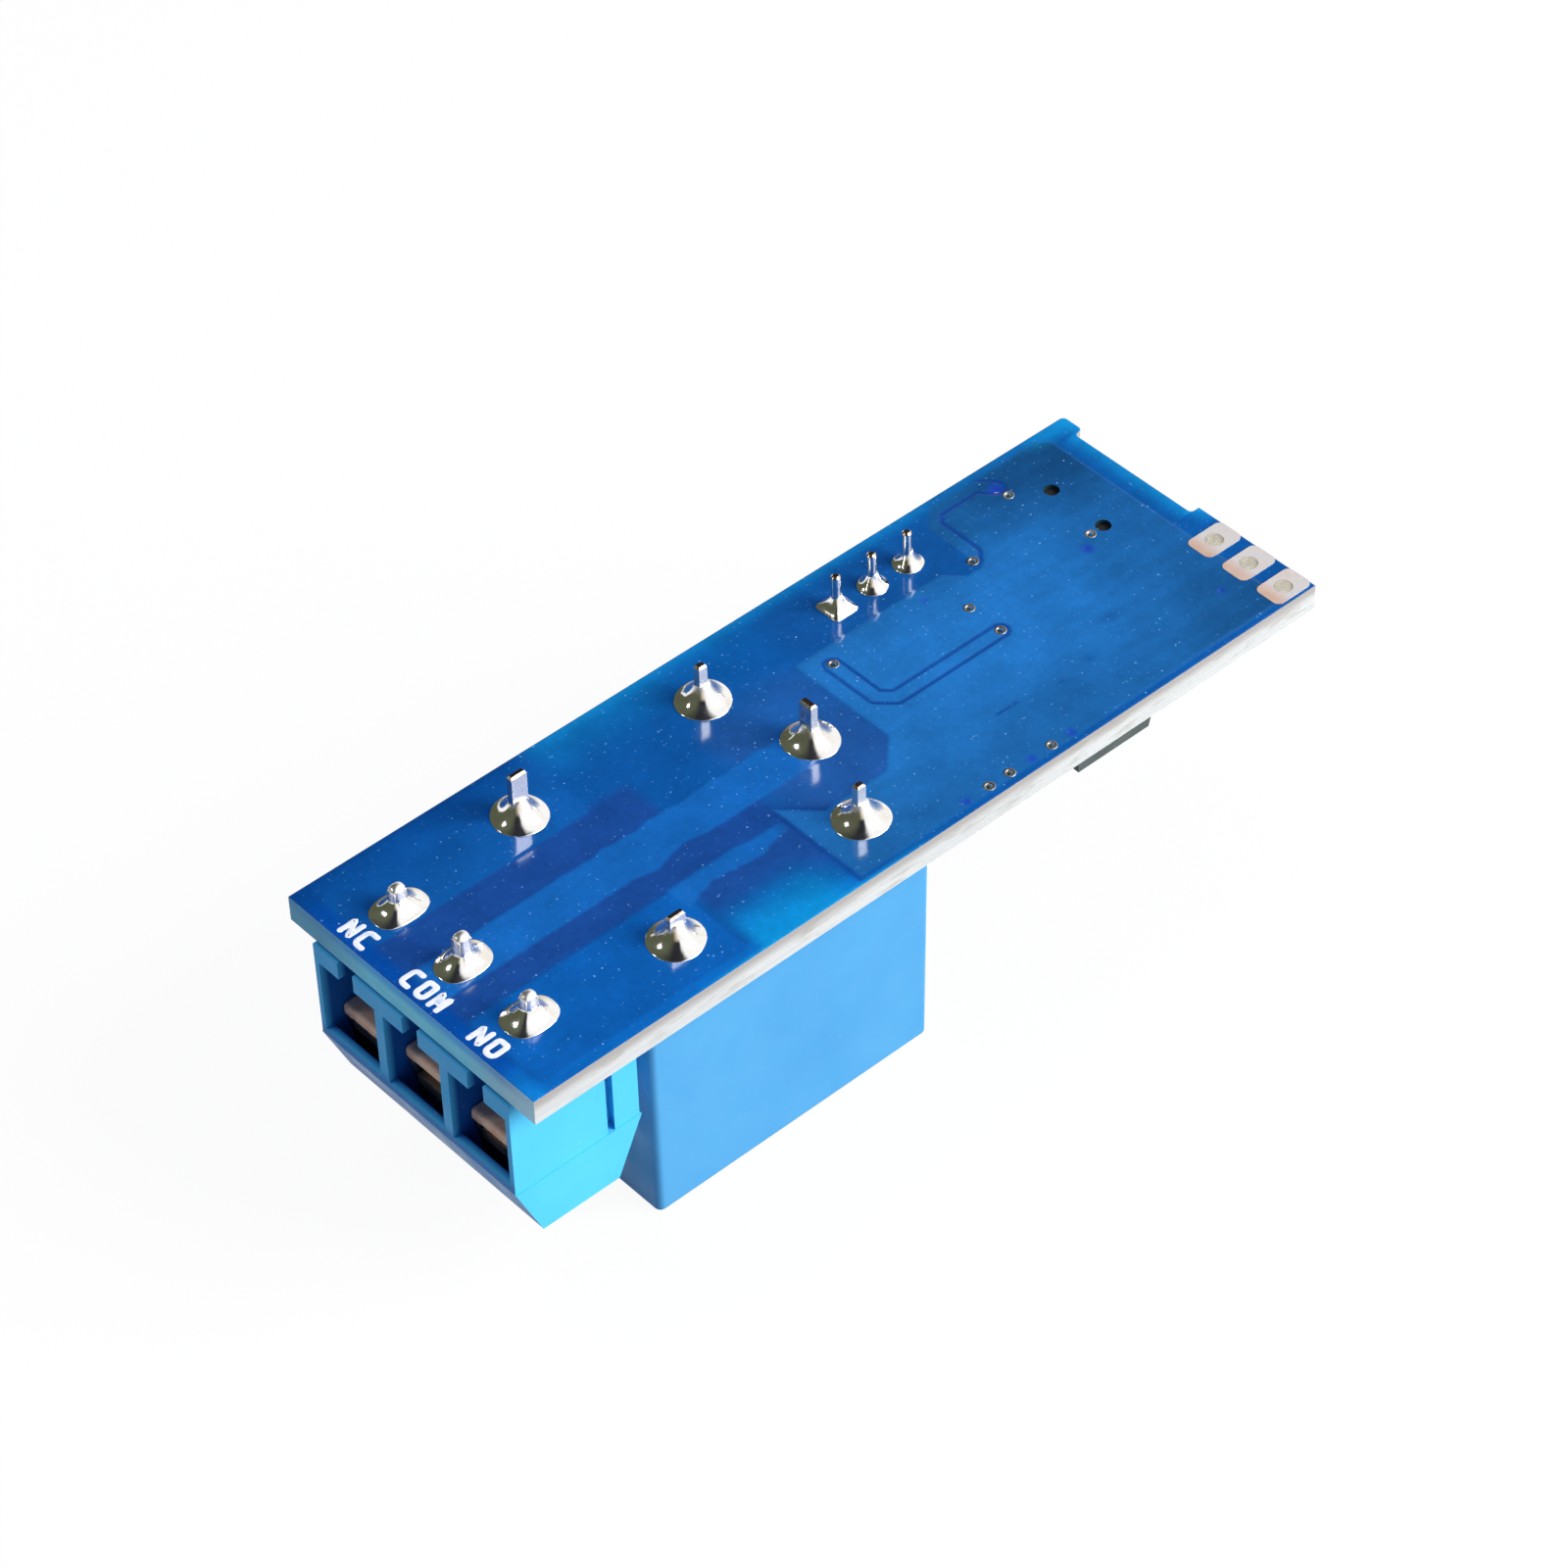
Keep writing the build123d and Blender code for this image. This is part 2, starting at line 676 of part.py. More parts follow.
def dovetail(side, clearance):
    """The section of the joining groove or rib on a side wall, smaller all round by a clearance."""
    wall_y = side * (terminal_width / 2 - side_step)
    mouth = groove_mouth / 2 - clearance
    root = groove_width / 2 - clearance
    reach = groove_depth - clearance
    with BuildSketch(Plane.XY.offset(shoulder_z)) as section:
        with BuildLine():
            Polyline(
                (groove_x - mouth, wall_y),
                (groove_x + mouth, wall_y),
                (groove_x + root, wall_y + reach),
                (groove_x - root, wall_y + reach),
                close=True,
            )
        make_face()
    return section.sketch


with BuildPart() as terminal_housing:
    with BuildSketch(Plane.XZ):
        with BuildLine():
            Polyline(
                (front_x, housing_top),
                (front_x, shoulder_z),
                (front_x + terminal_front_slant, terminal_low),
                (back_x - terminal_back_slant, terminal_low),
                (back_x + side_step, shoulder_z),
                (back_x, shoulder_z),
                (back_x, housing_top),
                close=True,
            )
        make_face()
    extrude(amount=terminal_width / 2, both=True)
    with BuildSketch(Plane.XY.offset(shoulder_z)):
        for side in (-1, 1):
            with Locations(((front_x + back_x) / 2, side * terminal_width / 2)):
                Rectangle(2 * terminal_depth, 2 * side_step)
    extrude(amount=housing_top - shoulder_z, mode=Mode.SUBTRACT)
    with BuildSketch(Plane.XY.offset(housing_top)):
        for y in cell_ys:
            with Locations((back_x - back_wall / 2, y)):
                Circle(terminal_foot_radius)
    extrude(amount=terminal_standoff)
    for y in cell_ys:
        with BuildSketch(Plane.XZ.offset(-y)):
            with BuildLine():
                Polyline(
                    (front_x, wire_top),
                    (front_x, wire_low),
                    (front_x + front_wall, wire_low),
                    (front_x + front_wall, shoulder_z),
                    (front_x + front_wall + slant_share * terminal_front_slant, head_top),
                    (chamber_back, head_top),
                    (chamber_back, wire_top),
                    close=True,
                )
            make_face()
        extrude(amount=cell_width / 2, both=True, mode=Mode.SUBTRACT)
        with BuildSketch(Plane.XY.offset(contact_low - seat_gap)):
            with Locations(((chamber_back + back_x - back_wall) / 2, y)):
                Rectangle(back_x - back_wall - chamber_back, contact_width + 2 * seat_gap)
        extrude(amount=wire_top - contact_low + seat_gap, mode=Mode.SUBTRACT)
        with BuildSketch(Plane.XY.offset(wire_top)):
            with Locations((foot_front, y)):
                Rectangle(2 * (foot_front - front_x), pin_slot_width)
            with Locations(((foot_front + riser_back) / 2, y)):
                Rectangle(riser_back - foot_front + 2 * seat_gap, contact_width + 2 * seat_gap)
        extrude(amount=lip_height, mode=Mode.SUBTRACT)
        with BuildSketch(Plane.XY.offset(head_low - running_gap)):
            with Locations((terminal_pin_x, y)):
                Circle(head_radius + cage_clearance)
        extrude(amount=head_thickness + running_gap, mode=Mode.SUBTRACT)
        with BuildSketch(Plane.XY.offset(terminal_low)):
            with Locations((terminal_pin_x, y)):
                Circle(head_hole_radius)
        extrude(amount=head_recess, mode=Mode.SUBTRACT)
    extrude(dovetail(-1, 0), amount=housing_top - shoulder_z, mode=Mode.SUBTRACT)
    extrude(dovetail(1, seat_gap), amount=housing_top - shoulder_z)
terminal_housing.part.label = "terminal_housing"
export_step(terminal_housing.part, "parts/terminal_housing.step")

# clamp cages: folded frames that ride up and down on their screws, each left at its own height
cage_width = cell_width - 2 * cage_clearance
for number, (y, wire_gap) in enumerate(zip(cell_ys, wire_gaps), start=1):
    bar_low = contact_top + wire_gap
    nut_top = bar_low - wire_space - contact_bar
    with BuildPart() as terminal_cage:
        with BuildSketch(Plane.XZ.offset(-y)) as cage_profile:
            with BuildLine():
                Polyline(
                    (front_x + cage_front, bar_low + cage_bar),
                    (front_x + cage_front, bar_low),
                    (front_x + cage_nut_front, nut_top),
                    (front_x + cage_nut_front, nut_top - cage_nut),
                    (cage_back, nut_top - cage_nut),
                    (cage_back, bar_low + cage_bar),
                    close=True,
                )
            make_face()
            fillet(cage_profile.vertices().group_by(Axis.X)[0], cage_edge)
        extrude(amount=cage_width / 2, both=True)
        with BuildSketch(Plane.XZ.offset(-y)):
            with Locations(((front_x + cage_back) / 2, (nut_top + bar_low) / 2)):
                Rectangle(2 * terminal_depth, bar_low - nut_top)
        extrude(amount=cage_width / 2 - cage_wall, both=True, mode=Mode.SUBTRACT)
        with BuildSketch(Plane.XY.offset(nut_top - cage_nut)):
            with Locations((terminal_pin_x, y)):
                Circle(screw_radius + running_gap)
        extrude(amount=cage_nut, mode=Mode.SUBTRACT)
    terminal_cage.part.label = f"terminal_cage_{number}"
    export_step(terminal_cage.part, f"parts/terminal_cage_{number}.step")

    # the clamp's screw: captive head with a slot, plain shank to the contact bar
    with BuildPart() as terminal_screw:
        with BuildSketch(Plane.XY.offset(head_low)):
            with Locations((terminal_pin_x, y)):
                Circle(head_radius)
        extrude(amount=head_thickness - running_gap)
        with BuildSketch(Plane.XY.offset(head_low)):
            with Locations((terminal_pin_x, y)):
                Circle(screw_radius)
        extrude(amount=contact_low - pin_play - head_low)
        with BuildSketch(Plane.XY.offset(head_low)):
            with Locations((terminal_pin_x, y)):
                Rectangle(head_slot, 2 * head_radius)
        extrude(amount=head_slot_depth, mode=Mode.SUBTRACT)
    terminal_screw.part.label = f"terminal_screw_{number}"
    export_step(terminal_screw.part, f"parts/terminal_screw_{number}.step")

    # the clamp's contact: a bar through the cage, bent up its back and forward to the pin
    with BuildPart() as terminal_contact:
        with BuildSketch(Plane.XZ.offset(-y)):
            with BuildLine():
                Polyline(
                    (front_x + contact_front, contact_low),
                    (riser_back, contact_low),
                    (riser_back, foot_top),
                    (foot_front, foot_top),
                    (foot_front, foot_top - contact_bar),
                    (riser_back - contact_bar, foot_top - contact_bar),
                    (riser_back - contact_bar, contact_top),
                    (front_x + contact_front, contact_top),
                    close=True,
                )
            make_face()
        extrude(amount=contact_width / 2, both=True)
        add(blade((terminal_pin_x, y), terminal_pin, foot_top, terminal_tips[number - 1]))
    terminal_contact.part.label = f"terminal_contact_{number}"
    export_step(terminal_contact.part, f"parts/terminal_contact_{number}.step")

# trimmer: a filled case on small feet, with the adjusting screw's bed near one end
trimmer_low = part_side - trimmer_height
adjuster_x = trimmer_at[0] - trimmer_length / 2 + adjuster_inset
with BuildPart() as trimmer_body:
    with BuildSketch(Plane.XY.offset(trimmer_low)):
        with Locations(trimmer_at):
            Rectangle(trimmer_length, trimmer_width)
    extrude(amount=trimmer_height - trimmer_foot)
    fillet(trimmer_body.edges().filter_by(Axis.Z), trimmer_edge)
    with BuildSketch(Plane.XY.offset(part_side - trimmer_foot)):
        for side in (-1, 1):
            foot_x = trimmer_at[0] + side * (trimmer_length / 2 - trimmer_foot_length)
            with Locations((foot_x, trimmer_at[1])):
                Rectangle(trimmer_foot_length, trimmer_width - 2 * trimmer_edge)
    extrude(amount=trimmer_foot)
    with BuildSketch(Plane.XY.offset(trimmer_low)):
        with Locations((adjuster_x, trimmer_at[1])):
            Circle(adjuster_radius + running_gap)
    extrude(amount=adjuster_bed, mode=Mode.SUBTRACT)
    with BuildSketch(Plane.XY.offset(part_side - trimmer_foot - trimmer_pin_seat)):
        with Locations(trimmer_pins_at):
            Circle(trimmer_pin_radius)
    extrude(amount=trimmer_pin_seat, mode=Mode.SUBTRACT)
trimmer_body.part.label = "trimmer_body"
export_step(trimmer_body.part, "parts/trimmer_body.step")

# adjusting screw: a slotted brass head on a plain neck
with BuildPart() as trimmer_screw:
    with BuildSketch(Plane.XY.offset(trimmer_low - adjuster_out)):
        with Locations((adjuster_x, trimmer_at[1])):
            Circle(adjuster_radius)
    extrude(amount=adjuster_out + adjuster_bed - pin_play)
    chamfer(trimmer_screw.faces().sort_by(Axis.Z)[0].edges(), adjuster_bevel)
    with BuildSketch(Plane.XY.offset(trimmer_low - adjuster_out)):
        with Locations((adjuster_x, trimmer_at[1])):
            Rectangle(head_slot, 2 * adjuster_radius)
    extrude(amount=head_slot_depth, mode=Mode.SUBTRACT)
trimmer_screw.part.label = "trimmer_screw"
export_step(trimmer_screw.part, "parts/trimmer_screw.step")

for number, at in enumerate(trimmer_pins_at, start=1):
    with BuildPart() as trimmer_pin:
        with BuildSketch(Plane.XY.offset(part_side - trimmer_foot - trimmer_pin_seat)):
            with Locations(at):
                Circle(trimmer_pin_radius)
        extrude(amount=solder_side + trimmer_tip - part_side + trimmer_foot + trimmer_pin_seat)
        chamfer(trimmer_pin.faces().sort_by(Axis.Z)[-1].edges(), trimmer_pin_bevel)
    trimmer_pin.part.label = f"trimmer_pin_{number}"
    export_step(trimmer_pin.part, f"parts/trimmer_pin_{number}.step")

# socket shell: a folded tube, wide against the board and narrow below, flared at its mouth
shell_z = part_side - shell_height
flare_x = mouth_x - flare_length


def shell_outline(x, grow):
    """The shell's section at a place along it, grown outwards by an amount."""
    half = shell_width / 2 + grow
    low = shell_z - grow
    with BuildSketch(Plane.YZ.offset(x)) as section:
        with BuildLine():
            Polyline(
                (socket_mid_y - half, part_side + grow),
                (socket_mid_y + half, part_side + grow),
                (socket_mid_y + half, low + shell_chamfer),
                (socket_mid_y + half - shell_chamfer, low),
                (socket_mid_y - half + shell_chamfer, low),
                (socket_mid_y - half, low + shell_chamfer),
                close=True,
            )
        make_face()
    return section.sketch


with BuildPart() as socket_shell:
    extrude(shell_outline(shell_back, 0), amount=shell_length - flare_length)
    loft([shell_outline(flare_x, 0), shell_outline(mouth_x, shell_flare)])
    extrude(shell_outline(shell_back, -shell_wall), amount=shell_length - flare_length, mode=Mode.SUBTRACT)
    loft(
        [shell_outline(flare_x, -shell_wall), shell_outline(mouth_x, shell_flare - shell_wall)],
        mode=Mode.SUBTRACT,
    )
    with BuildSketch(Plane.XY.offset(part_side - shell_wall)):
        with Locations(pegs_at):
            Circle(peg_radius + seat_gap)
    extrude(amount=shell_wall, mode=Mode.SUBTRACT)
socket_shell.part.label = "socket_shell"
export_step(socket_shell.part, "parts/socket_shell.step")

# socket insulator: the block at the back with its tongue and the two pegs that locate it in the board
insulator_front = shell_back + insulator_length
tongue_z = part_side - tongue_drop - tongue_thickness
contact_ys = [
    socket_mid_y + (i - (socket_contacts - 1) / 2) * socket_contact_pitch for i in range(socket_contacts)
]
with BuildPart() as socket_insulator:
    extrude(shell_outline(shell_back, -shell_wall - pin_play), amount=insulator_length)
    with BuildSketch(Plane.XY.offset(tongue_z)):
        with Locations((insulator_front + tongue_length / 2, socket_mid_y)):
            Rectangle(tongue_length, tongue_width)
    extrude(amount=tongue_thickness)
    with BuildSketch(Plane.XY.offset(part_side - shell_wall - pin_play)):
        with Locations(pegs_at):
            Circle(peg_radius)
    extrude(amount=solder_side - peg_recess - part_side + shell_wall + pin_play)
    with BuildSketch(Plane.XY.offset(tongue_z - socket_contact_thickness)):
        with Locations([(shell_back + insulator_length / 2, y) for y in contact_ys]):
            Rectangle(insulator_length, socket_contact_width)
    extrude(amount=socket_contact_thickness, mode=Mode.SUBTRACT)
socket_insulator.part.label = "socket_insulator"
export_step(socket_insulator.part, "parts/socket_insulator.step")

# socket contacts: strips under the tongue, out of the back and up to the board
tail_x = shell_back - socket_tail_out
socket_contact_end = insulator_front + tongue_length - socket_contact_inset
with BuildPart() as socket_contacts_row:
    for y in contact_ys:
        with BuildSketch(Plane.XZ.offset(-y)):
            with BuildLine():
                Polyline(
                    (socket_contact_end, tongue_z),
                    (socket_contact_end, tongue_z - socket_contact_thickness),
                    (tail_x - socket_contact_thickness, tongue_z - socket_contact_thickness),
                    (tail_x - socket_contact_thickness, part_side - socket_contact_thickness),
                    (tail_x - socket_tail_foot, part_side - socket_contact_thickness),
                    (tail_x - socket_tail_foot, part_side),
                    (tail_x, part_side),
                    (tail_x, tongue_z),
                    close=True,
                )
            make_face()
        extrude(amount=socket_contact_width / 2, both=True)
socket_contacts_row.part.label = "socket_contacts"
export_step(socket_contacts_row.part, "parts/socket_contacts.step")


def gull_lead(y, root_x, side, mid_z, reach, foot, thickness, width):
    """A lead that leaves its body level, turns to the board and lies on it with its foot."""
    knee = root_x + side * (reach - foot)
    with BuildPart() as lead:
        with BuildSketch(Plane.XZ.offset(-y)):
            with BuildLine():
                Polyline(
                    (root_x, mid_z - thickness / 2),
                    (knee + side * thickness, mid_z - thickness / 2),
                    (knee + side * thickness, part_side - thickness),
                    (root_x + side * reach, part_side - thickness),
                    (root_x + side * reach, part_side),
                    (knee, part_side),
                    (knee, mid_z + thickness / 2),
                    (root_x, mid_z + thickness / 2),
                    close=True,
                )
            make_face()
        extrude(amount=width / 2, both=True)
    return lead.part


# small-outline chip: a moulded body, drafted from its parting line, and its leads
chip_at = between(chip_share, chip_y)
chip_mid_z = part_side - chip_standoff - chip_height / 2
with BuildPart() as chip_body:
    for way in (1, -1):
        with BuildSketch(Plane.XY.offset(chip_mid_z)):
            with Locations(chip_at):
                Rectangle(chip_length, chip_width)
        extrude(amount=way * chip_height / 2, taper=chip_draft)
chip_body.part.label = "chip_body"
export_step(chip_body.part, "parts/chip_body.step")

with BuildPart() as chip_leads:
    for side in (-1, 1):
        for i in range(lead_count):
            lead_y = chip_at[1] + (i - (lead_count - 1) / 2) * lead_pitch
            root_x = chip_at[0] + side * chip_length / 2
            lead = gull_lead(lead_y, root_x, side, chip_mid_z, lead_reach, lead_foot, lead_thickness, lead_width)
            add(lead)
chip_leads.part.label = "chip_leads"
export_step(chip_leads.part, "parts/chip_leads.step")

# resistors, capacitors and lamps: a body between two end caps. The lamps stand half way between the
# trimmer and its neighbours
two_ended = [(name, between(share, y), size) for name, share, y, size in small_chips]
lamp_relay_x = (relay_far_x + trimmer_at[0] - trimmer_length / 2) / 2
lamp_power_x = (shell_back + trimmer_at[0] + trimmer_length / 2) / 2
two_ended.append(("lamp_relay", (lamp_relay_x, edge_y + lamp_y), lamp_size))
two_ended.append(("lamp_power", (lamp_power_x, edge_y + lamp_y), lamp_size))
for name, (x, y), (length, width, height) in two_ended:
    with BuildPart() as small_chip:
        with BuildSketch(Plane.XY.offset(part_side - height)):
            with Locations((x, y)):
                Rectangle(width, length - 2 * chip_cap)
        extrude(amount=height - chip_cap_rise)
        with BuildSketch(Plane.XY.offset(part_side - height - chip_cap_rise)):
            for side in (-1, 1):
                with Locations((x, y + side * (length - chip_cap) / 2)):
                    Rectangle(width + 2 * chip_cap_rise, chip_cap)
        extrude(amount=height + chip_cap_rise)
    small_chip.part.label = name
    export_step(small_chip.part, f"parts/{name}.step")

# driver transistor: a drafted body with two leads on one side and one on the other
transistor_at = between(transistor_share, transistor_y)
transistor_mid_z = part_side - transistor_size[2] / 2
with BuildPart() as transistor:
    for way in (1, -1):
        with BuildSketch(Plane.XY.offset(transistor_mid_z)):
            with Locations(transistor_at):
                Rectangle(transistor_size[0], transistor_size[1])
        extrude(amount=way * transistor_size[2] / 2, taper=chip_draft)
    for side, shift in ((-1, transistor_pitch), (-1, -transistor_pitch), (1, 0)):
        lead = gull_lead(
            transistor_at[1] + shift,
            transistor_at[0] + side * (transistor_size[0] / 2 - transistor_lead_thickness),
            side,
            transistor_mid_z,
            transistor_reach,
            transistor_foot,
            transistor_lead_thickness,
            transistor_lead_width,
        )
        add(lead)
transistor.part.label = "transistor"
export_step(transistor.part, "parts/transistor.step")

# flyback diode: a block with a flat tab folded under each end
diode_at = between(diode_share, diode_y)
with BuildPart() as diode:
    with BuildSketch(Plane.XY.offset(part_side - diode_size[2] / 2)):
        with Locations(diode_at):
            Rectangle(diode_size[0], diode_size[1])
    extrude(amount=diode_size[2] / 2 - diode_tab_thickness)
    with BuildSketch(Plane.XY.offset(part_side - diode_size[2] / 2)):
        with Locations(diode_at):
            Rectangle(diode_size[0], diode_size[1])
    extrude(amount=-diode_size[2] / 2, taper=chip_draft)
    for side in (-1, 1):
        root_y = diode_at[1] + side * diode_size[1] / 2
        with BuildSketch(Plane.XY.offset(part_side - diode_size[2] / 2)):
            with Locations((diode_at[0], root_y + side * diode_tab_thickness / 2)):
                Rectangle(diode_tab_width, diode_tab_thickness)
        extrude(amount=diode_size[2] / 2)
        with BuildSketch(Plane.XY.offset(part_side - diode_tab_thickness)):
            with Locations((diode_at[0], root_y + side * (diode_tab_reach - diode_tab_fold) / 2)):
                Rectangle(diode_tab_width, diode_tab_reach + diode_tab_fold)
        extrude(amount=diode_tab_thickness)
diode.part.label = "diode"
export_step(diode.part, "parts/diode.step")
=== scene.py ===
import math
import bpy
import numpy as np
from mathutils import Matrix, Vector


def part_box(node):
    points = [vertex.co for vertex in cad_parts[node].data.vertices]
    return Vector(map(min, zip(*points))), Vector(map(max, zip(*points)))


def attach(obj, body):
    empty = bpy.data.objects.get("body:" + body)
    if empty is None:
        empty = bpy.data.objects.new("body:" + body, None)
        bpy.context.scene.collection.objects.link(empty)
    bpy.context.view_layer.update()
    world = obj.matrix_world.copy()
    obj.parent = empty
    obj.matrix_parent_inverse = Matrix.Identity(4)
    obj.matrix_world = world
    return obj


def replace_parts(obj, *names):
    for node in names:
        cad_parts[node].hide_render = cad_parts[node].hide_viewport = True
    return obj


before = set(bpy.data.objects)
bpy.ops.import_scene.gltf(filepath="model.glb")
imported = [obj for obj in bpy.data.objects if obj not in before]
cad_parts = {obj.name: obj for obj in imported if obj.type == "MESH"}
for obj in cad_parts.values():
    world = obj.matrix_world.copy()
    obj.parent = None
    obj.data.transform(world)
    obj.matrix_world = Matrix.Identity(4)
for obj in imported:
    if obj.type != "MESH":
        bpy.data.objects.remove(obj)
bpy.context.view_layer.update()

mm = 0.001
print("frame loaded:", len(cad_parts), "solids")

# the board in this file: x from the terminal end, y from the near edge, both in mm
board = {
    "length": 53.8,
    "width": 19.0,
    "solderSide": 16.6,
    "partSide": 15.0,
    "notch": (8.6, 17.5),        # y from and to
    "notchX": 53.2,
    "innerCorner": 0.25,
    "tabCorner": 0.3,
}


def boardPoint(x, y, z):
    # board millimetres to the frame's metres
    return np.stack([(x - board["length"] / 2) * mm, (y - board["width"] / 2) * mm, z * mm], axis=-1)


# meshes from arrays of points
def meshFrom(name, points, faces):
    # a smooth piece of the module
    mesh = bpy.data.meshes.new(name)
    mesh.from_pydata(points.tolist(), [], faces)
    mesh.polygons.foreach_set("use_smooth", np.full(len(mesh.polygons), True))
    mesh.update()
    piece = bpy.data.objects.new(name, mesh)
    bpy.context.scene.collection.objects.link(piece)
    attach(piece, "module")
    return piece


def gridFaces(rows, columns, closedRows=False, closedColumns=False):
    # corner numbers of every square of a rows x columns grid of points, wrapped round where it is closed
    r = np.arange(rows if closedRows else rows - 1)
    c = np.arange(columns if closedColumns else columns - 1)
    r, c = np.meshgrid(r, c, indexing="ij")
    r2, c2 = (r + 1) % rows, (c + 1) % columns
    return np.stack([r * columns + c, r * columns + c2, r2 * columns + c2, r2 * columns + c], axis=-1).reshape(-1, 4)


def turnedFaces(rings, segments, start):
    # squares between the rings of a turned form, with a fan to one point at each end
    squares = gridFaces(rings, segments, closedColumns=True) + start
    low, high = start + rings * segments, start + rings * segments + 1
    k = np.arange(segments)
    k2 = (k + 1) % segments
    first = np.stack([start + k2, start + k, np.full(segments, low)], axis=-1)
    last = start + (rings - 1) * segments
    end = np.stack([last + k, last + k2, np.full(segments, high)], axis=-1)
    return squares.tolist() + first.tolist() + end.tolist()


# pieces that the materials share
def fill(node, inputs):
    # each named input of a node gets a value, or a link from another node's output
    for name, value in inputs.items():
        if isinstance(value, bpy.types.NodeSocket):
            node.id_data.links.new(value, node.inputs[name])
        else:
            node.inputs[name].default_value = value
    return node


def addNode(tree, kind, inputs):
    # a new node of that kind with its inputs filled
    return fill(tree.nodes.new("ShaderNode" + kind), inputs)


def newMaterial(name, roughness, metallic=0.0):
    # gives the material, its shader and the object coordinates
    material = bpy.data.materials.new(name)
    material.use_nodes = True
    tree = material.node_tree
    shader = fill(tree.nodes["Principled BSDF"], {"Roughness": roughness, "Metallic": metallic})
    return material, shader, tree.nodes.new("ShaderNodeTexCoord").outputs["Object"]


def scaled(place, scale):
    # the place with each coordinate times its own scale, which draws a pattern out along the smallest
    return addNode(place.id_data, "Mapping", {"Vector": place, "Scale": scale}).outputs["Vector"]


def noise(place, scale, detail=3.0, rough=0.55, twist=0.0):
    # cloudy values round 0.5; detail is the number of finer layers, rough is their weight
    inputs = {"Vector": place, "Scale": scale, "Detail": detail, "Roughness": rough, "Distortion": twist}
    return addNode(place.id_data, "TexNoise", inputs).outputs["Fac"]


def ramp(value, stops):
    # stops: (place, grey or colour) pairs
    node = addNode(value.id_data, "ValToRGB", {"Fac": value})
    band = node.color_ramp
    while len(band.elements) < len(stops):
        band.elements.new(0.5)
    for element, (at, tone) in zip(band.elements, stops):
        element.position = at
        element.color = (tone, tone, tone, 1) if isinstance(tone, (int, float)) else (*tone, 1)
    return node.outputs["Color"]


def blend(share, a, b, mode="MIX"):
    # a and b: a colour or another node's output; share: a number or an output
    tree = next(value.id_data for value in (share, a, b) if isinstance(value, bpy.types.NodeSocket))
    node = tree.nodes.new("ShaderNodeMix")
    node.data_type, node.blend_type = "RGBA", mode
    a, b = ((*value, 1) if isinstance(value, tuple) else value for value in (a, b))
    return fill(node, {0: share, 6: a, 7: b}).outputs[2]


def bump(shader, height, depth, strength=1.0, below=None):
    # depth in mm; below: a coarser relief that this one lies on
    node = addNode(height.id_data, "Bump", {"Height": height, "Strength": strength, "Distance": depth * mm})
    if below:
        fill(node, {"Normal": below})
    fill(shader, {"Normal": node.outputs["Normal"]})
    return node.outputs["Normal"]


def part(place, axis):
    # one coordinate of a vector
    return addNode(place.id_data, "SeparateXYZ", {"Vector": place}).outputs[axis]


def between(value, low, high, a=0.0, b=1.0):
    # a below low, b above high, straight in between
    inputs = {"Value": value, "From Min": low, "From Max": high, "To Min": a, "To Max": b}
    return addNode(value.id_data, "MapRange", inputs).outputs["Result"]


def facing(place, axis):
    # one coordinate of the surface's normal
    return part(addNode(place.id_data, "NewGeometry", {}).outputs["Normal"], axis)


def joined(kind, a, b):
    # one sum, product or the like of two values; b may be a number
    node = addNode(a.id_data, "Math", {0: a, 1: b})
    node.operation = kind
    return node.outputs["Value"]


def inColumn(place, x, y, radius, rim=0.04):
    # 1 inside an upright round column given in board millimetres, 0 beyond its rim, by the square of the distance
    away = []
    for axis, middle in (("X", x - board["length"] / 2), ("Y", y - board["width"] / 2)):
        off = joined("SUBTRACT", part(place, axis), middle * mm)
        away.append(joined("MULTIPLY", off, off))
    return between(joined("ADD", *away), (radius * mm) ** 2, ((radius + rim) * mm) ** 2, 1, 0)


def innerShadeShare(place, zone):
    # share of painted shade: 1 on walls inside a block whose front leans back below its shoulder, 0 on the block's
    # outside: one share each for being behind the leaning front, before the back, between the sides and over the
    # bottom, multiplied
    x, y, z = (part(place, axis) for axis in "XYZ")
    front, back, low, half = (zone[key] * mm for key in ("front", "back", "low", "half"))
    lean = between(z, low, zone["shoulder"] * mm, zone["lean"] * mm, 0)
    share = between(joined("SUBTRACT", x, lean), front + 0.1 * mm, front + 0.5 * mm)
    for limit in (between(x, back, back + 0.1 * mm, 1, 0),
                  between(joined("MULTIPLY", y, y), half ** 2, (half + 0.2 * mm) ** 2, 1, 0),
                  between(z, low + 0.1 * mm, low + 0.3 * mm)):
        share = joined("MULTIPLY", share, limit)
    return share


dustLook = {"scale": 2600, "from": 0.70, "to": 0.76, "tone": (0.85, 0.88, 0.92)}


